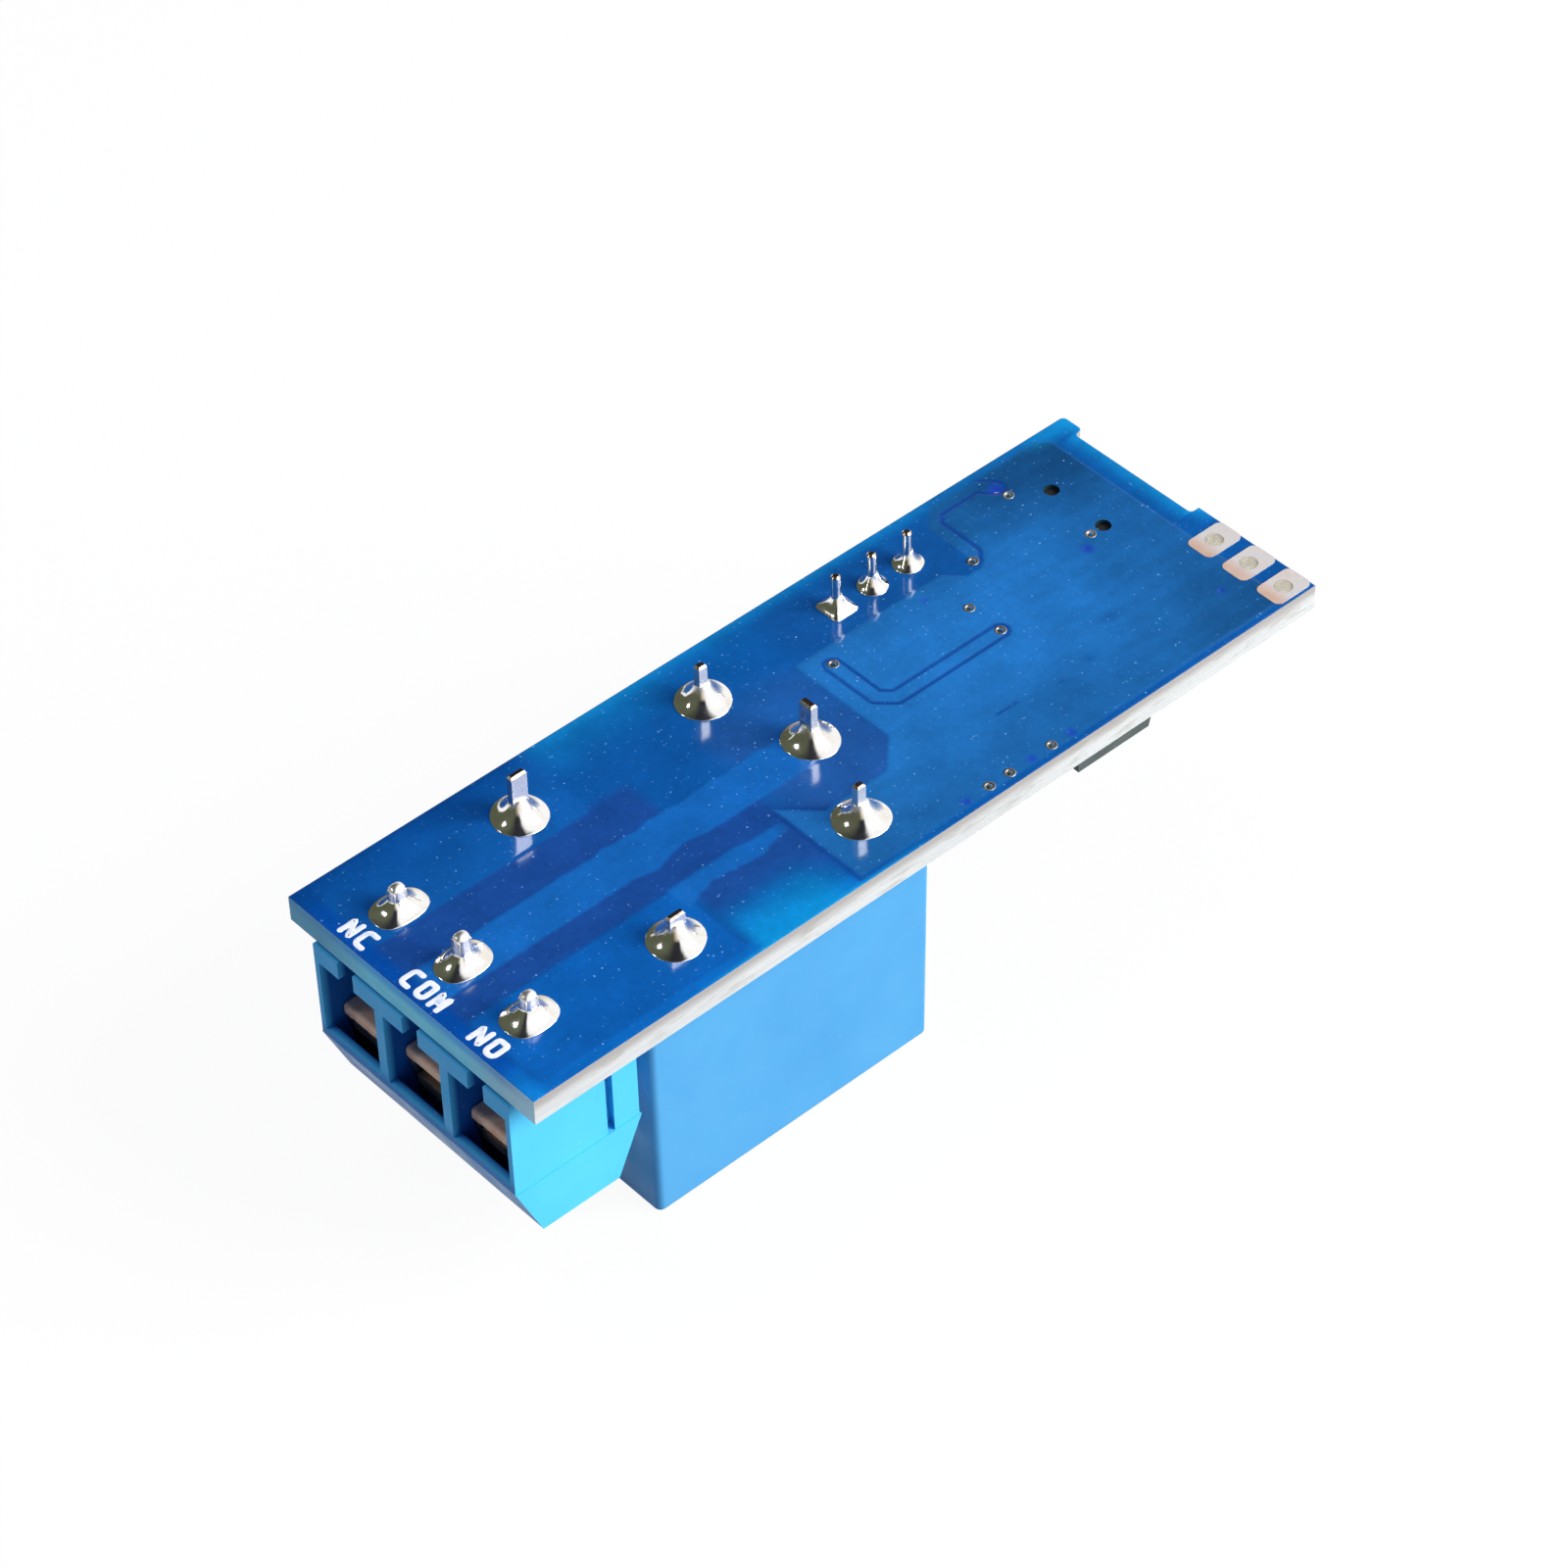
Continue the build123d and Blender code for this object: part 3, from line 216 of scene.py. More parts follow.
def moulding(name, look):
    # moulded plastic: two close tones in a cloudy pattern, a fine grain and a slow unevenness of gloss
    material, shader, place = newMaterial(name, look["roughness"])
    cloud = noise(place, look["cloud"], 4)
    colour = blend(ramp(cloud, [(0.35, 0.0), (0.68, 1.0)]), look["tone"], look["shade"])
    if "innerShade" in look:
        zone = look["innerShade"]
        # painted shade: faces turned to the front, away from the key lamp, get a darker tone, full below the shoulder
        # and partly above it
        start, end = ((zone["shoulder"] + over) * mm for over in zone["fade"])
        below = between(part(place, "Z"), start, end, 1, zone["above"])
        below = joined("MULTIPLY", below, between(facing(place, "X"), -0.8, -0.4, 1, 0))
        colour = blend(below, colour, zone["frontShadeTone"])
        # painted shade: a deep tone on the walls inside the cells, where they lie in shade
        colour = blend(innerShadeShare(place, zone), colour, zone["tone"])
    grains = noise(place, dustLook["scale"], 2, 0.7)
    dust = ramp(grains, [(dustLook["from"], 0.0), (dustLook["to"], 1.0)])
    colour = blend(between(dust, 0, 1, 0, look["dust"]), colour, dustLook["tone"])
    gloss = between(noise(place, look["cloud"] * 2.5, 3), 0.3, 0.7, look["roughness"] * 0.8, look["roughness"] * 1.25)
    fill(shader, {"Base Color": colour, "Roughness": gloss, "Specular IOR Level": look.get("shine", 0.5)})
    wave = bump(shader, noise(place, look["cloud"] * 1.3, 1), look["wave"], 0.6)
    bump(shader, noise(place, look["grain"], 3, 0.6), look["depth"], 0.5, below=wave)
    return material


def metal(name, look):
    # metal: two tones in patches, fine lines along one direction and a little tarnish
    material, shader, place = newMaterial(name, look["roughness"], 1.0)
    patch = noise(place, look["patch"], 4, 0.6)
    colour = blend(ramp(patch, [(0.38, 0.0), (0.66, 1.0)]), look["tone"], look["shade"])
    lines = noise(scaled(place, look["lines"]), 1.0, 4, 0.65)
    rough = between(lines, 0.3, 0.7, look["roughness"] * 0.75, look["roughness"] * 1.35)
    fill(shader, {"Base Color": colour, "Roughness": rough})
    bump(shader, lines, look["depth"], 0.6)
    return material


def dress(material, name):
    # gives the material to every slot of the named solid
    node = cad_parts[name]
    if not node.material_slots:
        node.data.materials.append(material)
    for place in node.material_slots:
        place.material = material


# solder mask over the copper
maskLook = {
    "film": 0.012,        # thickness of the film, mm
    "relief": 0.020,      # how far copper lifts it
    "dimple": 0.03,       # how far it sinks into a tented via
    "step": 0.104,        # spacing of the grid
    "edge": 0.03,         # width of the outermost strip, which folds down
    "fold": 0.002,        # how far it goes below the board's face, and the notch's points lie apart
    "bend": 50.0,         # x from which the grid follows the notch
    "pegRim": (0.36, 0.56, 0.45),        # points between two radii round a peg hole move to the third
    "clear": {"peg": 0.43, "wire": 0.72, "via": 0.26},        # radii without film
    "underJoint": 0.8,    # share of a joint's radii without film
    "soft": 0.12,         # width of a copper edge
    "tones": {            # colours of the film over what lies below it
        "bare": (0.003, 0.085, 0.298),
        "nearRim": (0.003, 0.125, 0.422),
        "corner": (0.004, 0.192, 0.531),
        "farEdge": (0.003, 0.135, 0.360),
        "farCorner": (0.001, 0.055, 0.225),
        "glow": (0.006, 0.290, 0.600),
        "band": (0.009, 0.062, 0.252),
        "margin": (0.001, 0.066, 0.310),
        "zone": (0.013, 0.085, 0.286),
        "zoneUp": (0.010, 0.098, 0.323),
        # painted light coming through bare laminate
        "patch": (0.003, 0.245, 0.542),
        "dusk": (0.010, 0.066, 0.256),
        "near": (0.003, 0.081, 0.290),
        "wide": (0.007, 0.119, 0.392),
        "open": (0.003, 0.102, 0.365),
        "ground": (0.015, 0.155, 0.425),
        "gap": (0.005, 0.050, 0.235),
        "trimmer": (0.005, 0.078, 0.268),
        "violet": (0.012, 0.045, 0.400),
    },
}

# open vias and tented ones, holes for the socket's pegs, wire holes in the edge pads
openVias = [(31.21, 12.93), (39.33, 11.22), (39.33, 8.85), (42.02, 13.78), (47.07, 16.33), (48.07, 11.05),
            (30.83, 0.78), (32.26, 0.78), (35.21, 0.78)]
tentedVias = [(29.2, 0.76, 0.26), (33.76, 0.76, 0.26), (36.6, 0.76, 0.26), (46.9, 17.15, 0.42), (47.1, 10.3, 0.34),
              (49.9, 3.1, 0.2), (38.0, 13.3, 0.15)]
pegHoles = [(49.04, 11.075), (49.04, 15.025)]
wireHoles = [(52.5, 1.09), (52.5, 3.63), (52.5, 6.17)]


def boxDistance(x, y, x0, x1, y0, y1, corner):
    # signed distance to a rectangle with round corners, less than zero inside
    dx = np.abs(x - (x0 + x1) / 2) - (x1 - x0) / 2 + corner
    dy = np.abs(y - (y0 + y1) / 2) - (y1 - y0) / 2 + corner
    return np.hypot(np.maximum(dx, 0), np.maximum(dy, 0)) + np.minimum(np.maximum(dx, dy), 0) - corner


def pathDistance(x, y, points):
    # distance to the nearest of a path's straight runs
    best = np.full(np.shape(x), 1e9)
    for (ax, ay), (bx, by) in zip(points[:-1], points[1:]):
        along = np.clip(((x - ax) * (bx - ax) + (y - ay) * (by - ay)) / ((bx - ax) ** 2 + (by - ay) ** 2), 0, 1)
        best = np.minimum(best, np.hypot(x - ax - along * (bx - ax), y - ay - along * (by - ay)))
    return best


def outlineDistance(x, y, corners):
    # signed distance to a closed outline of straight runs: nearest run, with the sign from the crossings
    inside = np.zeros(np.shape(x), bool)
    for (ax, ay), (bx, by) in zip(corners, corners[1:] + corners[:1]):
        if ay != by:
            inside ^= ((ay > y) != (by > y)) & (x < (bx - ax) * (y - ay) / (by - ay) + ax)
    far = pathDistance(x, y, corners + corners[:1])
    return np.where(inside, -far, far)


def smooth(value, low, high):
    # 0 below low, 1 above high, with the cubic 3tt - 2ttt in between
    t = np.clip((value - low) / (high - low), 0, 1)
    return t * t * (3 - 2 * t)


def inside(distance, soft):
    # 1 inside a shape, 0 outside it, from the signed distance to its edge
    return 1 - smooth(distance, -soft, soft)


groundOutline = [(21.7, 0.45), (51.8, 0.45), (51.8, 17.9), (51.2, 18.5), (43.3, 18.5), (42.05, 17.3), (42.05, 13.1),
                 (41.0, 13.1), (40.0, 14.14), (29.66, 14.14), (29.66, 7.0), (27.8, 5.15), (23.6, 5.15), (21.7, 7.0)]
tongueEdge = ([14.0, 14.7, 15.4, 16.2, 17.3, 18.5, 19.2, 19.7, 20.0, 20.7, 21.5],
              [4.64, 4.91, 5.15, 5.37, 5.23, 5.07, 5.02, 5.12, 5.32, 5.38, 5.52])        # x and y of its ragged side
signalTrace = [(31.14, 12.9), (31.14, 9.6), (31.9, 8.85), (39.3, 8.85)]
upperTrace = [(42.0, 13.84), (42.45, 14.4), (42.45, 17.4), (43.2, 18.15), (46.2, 18.15), (47.0, 17.3)]
gapRuns = [(signalTrace, 0.48, 0.11), (upperTrace, 0.50, 0.13)]        # trace, its bare gap's distance and half width
areas = {        # rectangles: x from and to, y from and to, round corner
    "near": (1.1, 14.95, 13.3, 18.75, 0.35),
    "opened": (1.1, 14.34, 0.64, 6.2, 0.35),
    "upperBand": (0.6, 17.5, 10.4, 13.5, 0.3),
    "lowerBand": (0.6, 21.9, 6.2, 8.4, 0.3),
    "zone": (22.4, 29.9, 4.6, 14.0, 1.5),
    "trimmer": (30.2, 42.3, 13.6, 18.2, 0.6),
    "besideUpper": (43.4, 50.6, 16.8, 18.9, 0.3),
    "slit": (34.7, 36.2, 4.22, 4.38, 0.08),
}
darkSpots = [(44.2, 5.7, 0.5), (41.2, 4.1, 0.45), (38.9, 3.8, 0.35)]        # x, y and spread along x


def mapCopper(x, y):
    # share of copper at each point and the film's tone there, from the shapes in board millimetres
    soft, tones = maskLook["soft"], {k: np.array(v) for k, v in maskLook["tones"].items()}
    wave = (0.07 * np.sin(1.9 * x + 0.6) + 0.05 * np.sin(4.3 * x)) * smooth(x, 9.5, 13)
    fray = 0.04 * np.sin(6.7 * x + 0.9) + 0.025 * np.sin(12.1 * x)
    near = boxDistance(x, y, *areas["near"])
    opened = boxDistance(x, y, *areas["opened"])
    top = 10.72 + wave
    low = 8.08 + 0.28 * np.exp(-((x - 16.9) / 0.9) ** 2) - 0.25 * np.exp(-((x - 14.6) / 0.7) ** 2) + 0.4 * fray
    wide = np.maximum(np.maximum(y - top, low - y), np.maximum(1.1 - x, x - 26.4))
    tongueTop = 6.36 - 0.22 * smooth(x, 18.4, 19.4)
    tongueLow = np.interp(x, *tongueEdge) + fray
    tongue = np.maximum(np.maximum(y - tongueTop, tongueLow - y), np.maximum(14.0 - x, x - 21.6))
    ground = outlineDistance(x, y, groundOutline)
    signal, upper = (np.abs(pathDistance(x, y, run) - away) - half for run, away, half in gapRuns)

    tone = np.broadcast_to(tones["bare"], x.shape + (3,)).copy()

    def lay(name, share):
        # moves the tone towards a named one by a share between 0 and 1
        tone[:] = tone + (tones[name] - tone) * np.clip(share, 0, 1)[..., None]

    # fields of the film over bare laminate, the later ones over the earlier
    farSide, toEnd = board["width"] - y, farLimit(y) - x
    lay("farEdge", smooth(y, 15.2, 18.9) * smooth(x, 14.6, 16.2) * (1 - smooth(x, 29.5, 31) * 0.3))
    lay("nearRim", (1 - smooth(y, 0.45, 1.2)) * (1 - smooth(x, 22, 26) * 0.8))
    lay("bare", smooth(x, 22.5, 25) * 0.7)
    # painted light: a lighter patch where light comes through bare laminate with no copper on either side
    lay("patch", smooth(x, 14.4, 15.4) * (1 - smooth(x, 19.0, 22)) * (1 - smooth(y, 0.2, 4.2)))
    duskEnd = (1 - smooth(x, 21.4, 22.4)) * (1 - smooth(y, 5.5, 8))
    lay("dusk", smooth(x, 14.4, 15.2) * smooth(y, 2.4, 4.6) * duskEnd)
    lay("dusk", smooth(x, 19.2, 21.4) * smooth(y, 1.0, 3.4) * duskEnd * 0.8)
    lay("band", inside(boxDistance(x, y, *areas["upperBand"]), 0.5))
    lay("band", inside(boxDistance(x, y, *areas["lowerBand"]), 0.35) * (1 - smooth(x, 20.5, 23.5) * 0.4))
    lay("zone", inside(boxDistance(x, y, *areas["zone"]), 1.2))
    lay("zoneUp", inside(np.hypot(x - 26.6, y - 12.0) - 2.2, 1.6) * 0.8)
    lay("trimmer", inside(boxDistance(x, y, *areas["trimmer"]), 0.9) * 0.8)
    lay("margin", 1 - smooth(x, 0.7, 1.2))
    lay("corner", (1 - smooth(x, 0.5, 1.4)) * (1 - smooth(y, 0.2, 3.4)))
    lay("farCorner", (1 - smooth(x, 13.5, 15)) * smooth(y, 16.2, 18.2) * 0.9)
    lay("trimmer", inside(boxDistance(x, y, *areas["besideUpper"]), 0.4) * 0.7)
    # film over copper; painted shade: the ground area darkens towards the near edge, the socket and the trimmer
    lay("near", inside(near, soft) * (1 - 0.6 * smooth(y, 16.4, 18.6)))
    lay("wide", inside(near, soft) * (1 - smooth(y - 0.25 * x, 12.2, 14.6)) * 0.35)
    lay("wide", inside(wide, soft))
    lay("open", inside(opened, soft))
    lay("wide", inside(tongue, soft) * (1 - smooth(x, 20.6, 21.6) * 0.7))
    lay("ground", inside(ground, soft))
    groundShade = (1 - 0.27 * (1 - smooth(y, 0.8, 7.5))) * (1 - 0.32 * smooth(x, 42.5, 51)) * (1 - 0.42 * smooth(y, 11.5, 17))
    tone *= (1 - (1 - groundShade) * inside(ground, soft))[..., None]
    # bare gaps along the traces, a slit, and the ground area's shaded near edge
    lay("gap", inside(ground, soft) * inside(signal, 0.06) * 0.9)
    lay("gap", inside(ground, soft) * inside(upper, 0.07) * 0.9)
    lay("gap", inside(boxDistance(x, y, *areas["slit"]), 0.06) * 0.8)
    shaded = np.exp(-((ground - 0.12) / 0.16) ** 2)
    lay("gap", shaded * (1 - smooth(y, 6, 7.5)) * (1 - smooth(x, 23, 24.5)) * 0.8)
    # light that comes through the laminate along its edges: far side, socket end, far corner, near side
    lay("glow", np.exp(-(farSide / 0.55) ** 2) * 0.42 * smooth(x, 14, 18) * (1 - smooth(x, 42, 44) * 0.4))
    lay("glow", np.exp(-(toEnd / 0.7) ** 2) * 0.6 * smooth(y, 7.0, 8.4))
    lay("glow", smooth(x, 49.6, 52.4) * smooth(y, 17.4, 18.6) * 0.5)
    lay("glow", np.exp(-(y / 0.2) ** 2) * 0.75 * smooth(x, 8, 15) * (1 - smooth(x, 22, 28)))
    for sx, sy, spread in darkSpots:
        lay("gap", np.exp(-((x - sx) / spread) ** 2 - ((y - sy) / 0.3) ** 2) * 0.35)
    for vx, vy, radius in tentedVias:
        lay("violet", inside(np.hypot(x - vx, y - vy) - radius, 0.2) * 0.7)
    # slow unevenness all over, and fine ripples towards the socket
    drift = (1 + 0.05 * np.sin(0.41 * x + 1.7) * np.sin(0.53 * y + 0.4) + 0.03 * np.sin(1.3 * x - 0.7 * y)
             + 0.025 * np.sin(0.9 * x + 2.1 * y + 2.0))
    ripple = 1 + 0.03 * np.sin(5.2 * y + 0.5 * np.sin(x)) * smooth(x, 40, 43)
    tone *= (drift * ripple)[..., None]

    copper = np.maximum.reduce([inside(near, soft), inside(wide, soft), inside(opened, soft),
                                inside(tongue, soft) * (1 - smooth(x, 20.6, 21.6)), inside(ground, soft)])
    cut = np.maximum(inside(signal, 0.07), inside(upper, 0.07))
    return copper * (1 - cut * inside(ground, soft)), tone


def filmTop(x, y):
    # height of the film's outside in mm: board, film and copper's relief, less a round dimple at each tented via
    height = board["solderSide"] + maskLook["film"] + maskLook["relief"] * mapCopper(x, y)[0]
    for vx, vy, radius in tentedVias:
        height = height - maskLook["dimple"] * np.exp(-((x - vx) ** 2 + (y - vy) ** 2) / (0.7 * radius) ** 2)
    return height


def farLimit(y):
    # x of the socket end at each y: the notch, with its rounded inner and outer corners
    low, high = board["notch"]
    r, t = board["innerCorner"], board["tabCorner"]
    into = np.minimum(y - low, high - y)
    notch = board["notchX"] + r - np.sqrt(np.maximum(r * r - np.clip(r - into, 0, r) ** 2, 0))
    notch = np.where(into >= r, board["notchX"], notch)
    tab = np.minimum(y - high, board["width"] - y)
    end = board["length"] - t + np.sqrt(np.maximum(t * t - np.clip(t - tab, 0, t) ** 2, 0))
    return np.where(into > 0, notch, np.where(y > high, end, board["length"]))


def gridLine(length, more=()):
    # even steps over a length, with a narrow strip at each end
    edge = maskLook["edge"]
    steps = np.linspace(0, length, int(length / maskLook["step"]))
    return np.unique(np.concatenate([[edge, length - edge], steps, more]))


def maskSheet():
    # one sheet over the solder side: x and y run over the board's outline, z is the film's height
    fold, bend, clear = maskLook["fold"], maskLook["bend"], maskLook["clear"]
    xs = gridLine(board["length"])
    ys = gridLine(board["width"], [at + way for at in board["notch"] for way in (-fold, fold)])
    x, y = np.meshgrid(xs, ys, indexing="ij")
    x = np.where(x > bend, bend + (x - bend) * (farLimit(y) - bend) / (board["length"] - bend), x)
    tone = mapCopper(x, y)[1]
    z = filmTop(x, y)
    rimStart, rimEnd, rimTo = maskLook["pegRim"]
    for hx, hy in pegHoles:
        away = np.hypot(x - hx, y - hy)
        grow = np.where((away > rimStart) & (away < rimEnd), rimTo / np.maximum(away, 1e-6), 1.0)
        x, y = hx + (x - hx) * grow, hy + (y - hy) * grow
    z[[0, -1], :] = board["solderSide"] - fold
    z[:, [0, -1]] = board["solderSide"] - fold
    faces = gridFaces(len(xs), len(ys))
    fx, fy = x.ravel()[faces].mean(1), y.ravel()[faces].mean(1)
    keep = np.ones(len(faces), bool)
    for holes, radius in ((pegHoles, clear["peg"]), (wireHoles, clear["wire"]), (openVias, clear["via"])):
        for hx, hy in holes:
            keep &= np.hypot(fx - hx, fy - hy) > radius
    for joint in joints["relay"] + joints["terminal"] + joints["trimmer"]:
        (jx, jy), (sx, sy) = joint["at"], joint["size"]
        keep &= np.hypot((fx - jx) / sx, (fy - jy) / sy) > maskLook["underJoint"]
    piece = meshFrom("mask_film", boardPoint(x, y, z).reshape(-1, 3), faces[keep][:, ::-1].tolist())
    colours = np.ones((x.size, 4), np.float32)
    colours[:, :3] = tone.reshape(-1, 3)
    layer = piece.data.color_attributes.new("filmTone", "FLOAT_COLOR", "POINT")
    layer.data.foreach_set("color", colours.ravel())
    return piece


glossLook = {
    "roughness": (0.13, 0.5),        # of the film and of a speck
    "cloud": (420, 0.90, 1.10),      # noise scale, and the factor on the tone from and to
    "mottle": (2100, 0.93, 1.07),
    "speckScales": (1500, 900, 4200),        # cells, which of them carry a speck, fine dust
    "speckTone": (0.30, 0.58, 0.85),
    "speckShare": 0.60,
    "peel": (700, 0.010),            # noise scale, and depth in mm
    "grain": (2400, 0.004),
}


def maskMaterial():
    # glossy film: tone from the map, cloudy variation, an orange-peel surface and specks of dust
    look = glossLook
    clean, dusty = look["roughness"]
    cells, some, fine = look["speckScales"]
    material, shader, place = newMaterial("glossMask", clean)
    tree = material.node_tree
    colour = tree.nodes.new("ShaderNodeVertexColor")
    colour.layer_name = "filmTone"
    colour = colour.outputs["Color"]
    for (scale, start, end), detail, rough in ((look["cloud"], 5, 0.6), (look["mottle"], 3, 0.65)):
        cloud = between(noise(place, scale, detail, rough), 0.3, 0.7, start, end)
        colour = blend(1.0, colour, cloud, "MULTIPLY")
    cell = addNode(tree, "TexVoronoi", {"Vector": place, "Scale": cells, "Randomness": 1.0})
    spot = ramp(cell.outputs["Distance"], [(0.04, 1.0), (0.10, 0.0)])
    chosen = ramp(noise(place, some, 1), [(0.50, 0.0), (0.57, 1.0)])
    speck = blend(1.0, spot, chosen, "MULTIPLY")
    dust = ramp(noise(place, fine, 2, 0.7), [(0.68, 0.0), (0.74, 0.6)])
    speck = blend(1.0, speck, dust, "LIGHTEN")
    colour = blend(between(speck, 0, 1, 0, look["speckShare"]), colour, look["speckTone"])
    fill(shader, {"Base Color": colour, "Roughness": between(speck, 0, 1, clean, dusty), "Specular IOR Level": 0.5})
    peel = bump(shader, noise(place, look["peel"][0], 2, 0.5), look["peel"][1], 0.5)
    bump(shader, noise(place, look["grain"][0], 2, 0.6), look["grain"][1], 0.5, below=peel)
    return material


# solder joints
jointLook = {
    "hollow": 0.62,      # 0 is a straight cone
    "rings": 26,
    "segments": 72,
    "foot": 0.055,       # height at which the cone starts
    "skirt": 1.004,      # the edge below the foot, as a share of its radius
    "dome": 0.30,        # how far the solder stands over a pin that it covers
    "domeRings": 9,
    "sheath": (0.93, 0.92),      # radius below the dome and of the dome, as shares of the pin's
    "waves": (0.022, 0.014),     # unevenness of the outline, two and three times round
    "slump": 0.05,
    "ripple": 0.02,
}
# places on the board, and for each kind: radii along x and y at the foot and at the pin, height of the cone, how
# square the foot and the top are (2 is round), and the height of the tip where solder covers the pin
terminalTips = [(4.44, 1.45), (9.5, 1.75), (14.56, 1.40)]        # y and tip
trimmerFeet = [(34.33, 7), (36.87, 2), (39.41, 2)]        # x and square
relayPlaces = [(24.49, 15.51), (24.49, 3.49), (26.53, 9.5), (12.12, 15.51), (12.12, 3.49)]
relayKind = {"size": (1.55, 1.55), "top": (0.40, 0.36), "height": 1.25, "square": 2, "topSquare": 2, "tip": 0}
terminalKind = {"size": (1.57, 1.17), "top": (0.48, 0.38), "height": 0.85, "square": 2.5, "topSquare": 2.6}
trimmerKind = {"size": (0.87, 0.87), "top": (0.27, 0.27), "height": 0.95, "topSquare": 2, "tip": 0}
joints = {
    "relay": [{**relayKind, "at": at} for at in relayPlaces],
    "terminal": [{**terminalKind, "at": (3.48, y), "tip": tip} for y, tip in terminalTips],
    "trimmer": [{**trimmerKind, "at": (x, 16.03), "square": square} for x, square in trimmerFeet],
}


def jointForm(joint, seed):
    # a turned cone: radius falls in even steps from the foot to the pin, height rises slowly and then fast;
    # the section is a superellipse, and slow waves round it keep it from being perfect; where solder covers the
    # pin, the cone goes on as a sheath up to its tip and closes in a quarter-ellipse dome
    look, size, top = jointLook, joint["size"], joint["top"]
    s = np.linspace(0, 1, look["rings"])[:, None]
    rise = (1 - look["hollow"]) * s + look["hollow"] * s ** 2.5
    radius = np.array(size) + (np.array(top) - np.array(size)) * s
    z = look["foot"] + (joint["height"] - look["foot"]) * rise[:, 0]
    power = 2 / (joint["square"] + (joint["topSquare"] - joint["square"]) * s[:, 0] ** 0.6)
    if joint["tip"]:
        t = np.linspace(0, math.pi / 2, look["domeRings"] + 1)[:-1]
        sheath = np.linspace(joint["height"], joint["tip"], 5)[1:-1]
        upTo, domed = look["sheath"]
        radius = np.concatenate([radius, np.outer(np.linspace(1.0, upTo, 3), top), domed * np.outer(np.cos(t), top)])
        z = np.concatenate([z, sheath, joint["tip"] + look["dome"] * np.sin(t)])
        power = np.concatenate([power, np.full(3 + look["domeRings"], power[-1])])
    radius = np.concatenate([radius[:1] * look["skirt"], radius[:1] * look["skirt"], radius])
    z = np.concatenate([[-0.01, 0.03], z])[:, None]
    power = np.concatenate([power[:1], power[:1], power])[:, None]
    a = np.linspace(0, 2 * math.pi, look["segments"], endpoint=False)[None, :]
    ease = np.clip(1 - z / joint["height"], 0, 1)
    two, three = look["waves"]
    uneven = 1 + (two * np.cos(2 * a + seed) + three * np.cos(3 * a + 2.1 * seed)) * (0.3 + 0.7 * ease)
    slump = 1 + look["slump"] * ease * (1 - ease) * 4 * np.cos(a + seed)
    ex = np.sign(np.cos(a)) * np.abs(np.cos(a)) ** power
    ey = np.sign(np.sin(a)) * np.abs(np.sin(a)) ** power
    x = joint["at"][0] + radius[:, :1] * ex * uneven * slump
    y = joint["at"][1] + radius[:, 1:] * ey * uneven * slump
    ripple = look["ripple"] * np.sin(3 * a + seed) * ease * (1 - ease) * 4 * (z > look["foot"])
    z = board["solderSide"] + z + ripple
    rings = boardPoint(x, y, z).reshape(-1, 3)
    poles = boardPoint(np.full(2, joint["at"][0]), np.full(2, joint["at"][1]),
                       np.array([board["solderSide"] - 0.01, z[-1].mean() + 0.002]))
    return np.concatenate([rings, poles]), len(x)


def jointSet(name, kind, replaced):
    # all joints of one kind as one piece, which stands for the plain solder of the solids
    points, faces, start = [], [], 0
    for number, joint in enumerate(joints[kind]):
        form, rings = jointForm(joint, 1.7 * number + len(joints[kind]))
        points.append(form)
        faces += turnedFaces(rings, jointLook["segments"], start)
        start += len(form)
    piece = meshFrom(name, np.concatenate(points), faces)
    piece.data.materials.append(finish["tin"])
    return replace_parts(piece, replaced)


tinLook = {
    "tone": (0.95, 0.94, 0.92),
    "flux": (0.80, 0.68, 0.50),
    "gloss": (1500, 0.07, 0.16),     # noise scale, and roughness from and to
    "dull": (0.75, 1.2, 0.26),       # heights over the board between which roughness grows, and by how much
    "ripple": (700, 0.035),          # noise scale, and depth in mm
    "pits": (5200, 0.006),
}


def solderMaterial():
    # bright tin: slow ripples from cooling, a brown film of flux in patches, small pits, duller round the pin
    look = tinLook
    material, shader, place = newMaterial("brightTin", 0.2, 1.0)
    flux = ramp(noise(place, 900, 4, 0.6, 0.4), [(0.50, 0.0), (0.74, 0.5)])
    start, end = ((board["solderSide"] + height) * mm for height in look["dull"][:2])
    dull = between(part(place, "Z"), start, end, 0, look["dull"][2])
    scale, least, most = look["gloss"]
    gloss = between(noise(place, scale, 3), 0.3, 0.7, least, most)
    fill(shader, {"Base Color": blend(flux, look["tone"], look["flux"]), "Roughness": joined("ADD", gloss, dull)})
    ripple = bump(shader, noise(place, look["ripple"][0], 2, 0.5, 0.8), look["ripple"][1], 0.5)
    bump(shader, noise(place, look["pits"][0], 3, 0.7), look["pits"][1], 0.4, below=ripple)
    return material


# plated rings of the open vias
viaLook = {
    "ring": 0.345,       # outer radius
    "bore": 0.18,
    "land": 0.05,        # round edge of the bore
    "bevel": 0.02,
    "stand": 0.03,       # height of the land over the board
    "crown": 0.012,      # how far its middle stands higher
    "foot": 0.025,       # how far the lower land's outer edge goes back up
    "wall": 0.028,       # thickness of the plating in the bore
    "segments": 36,
}


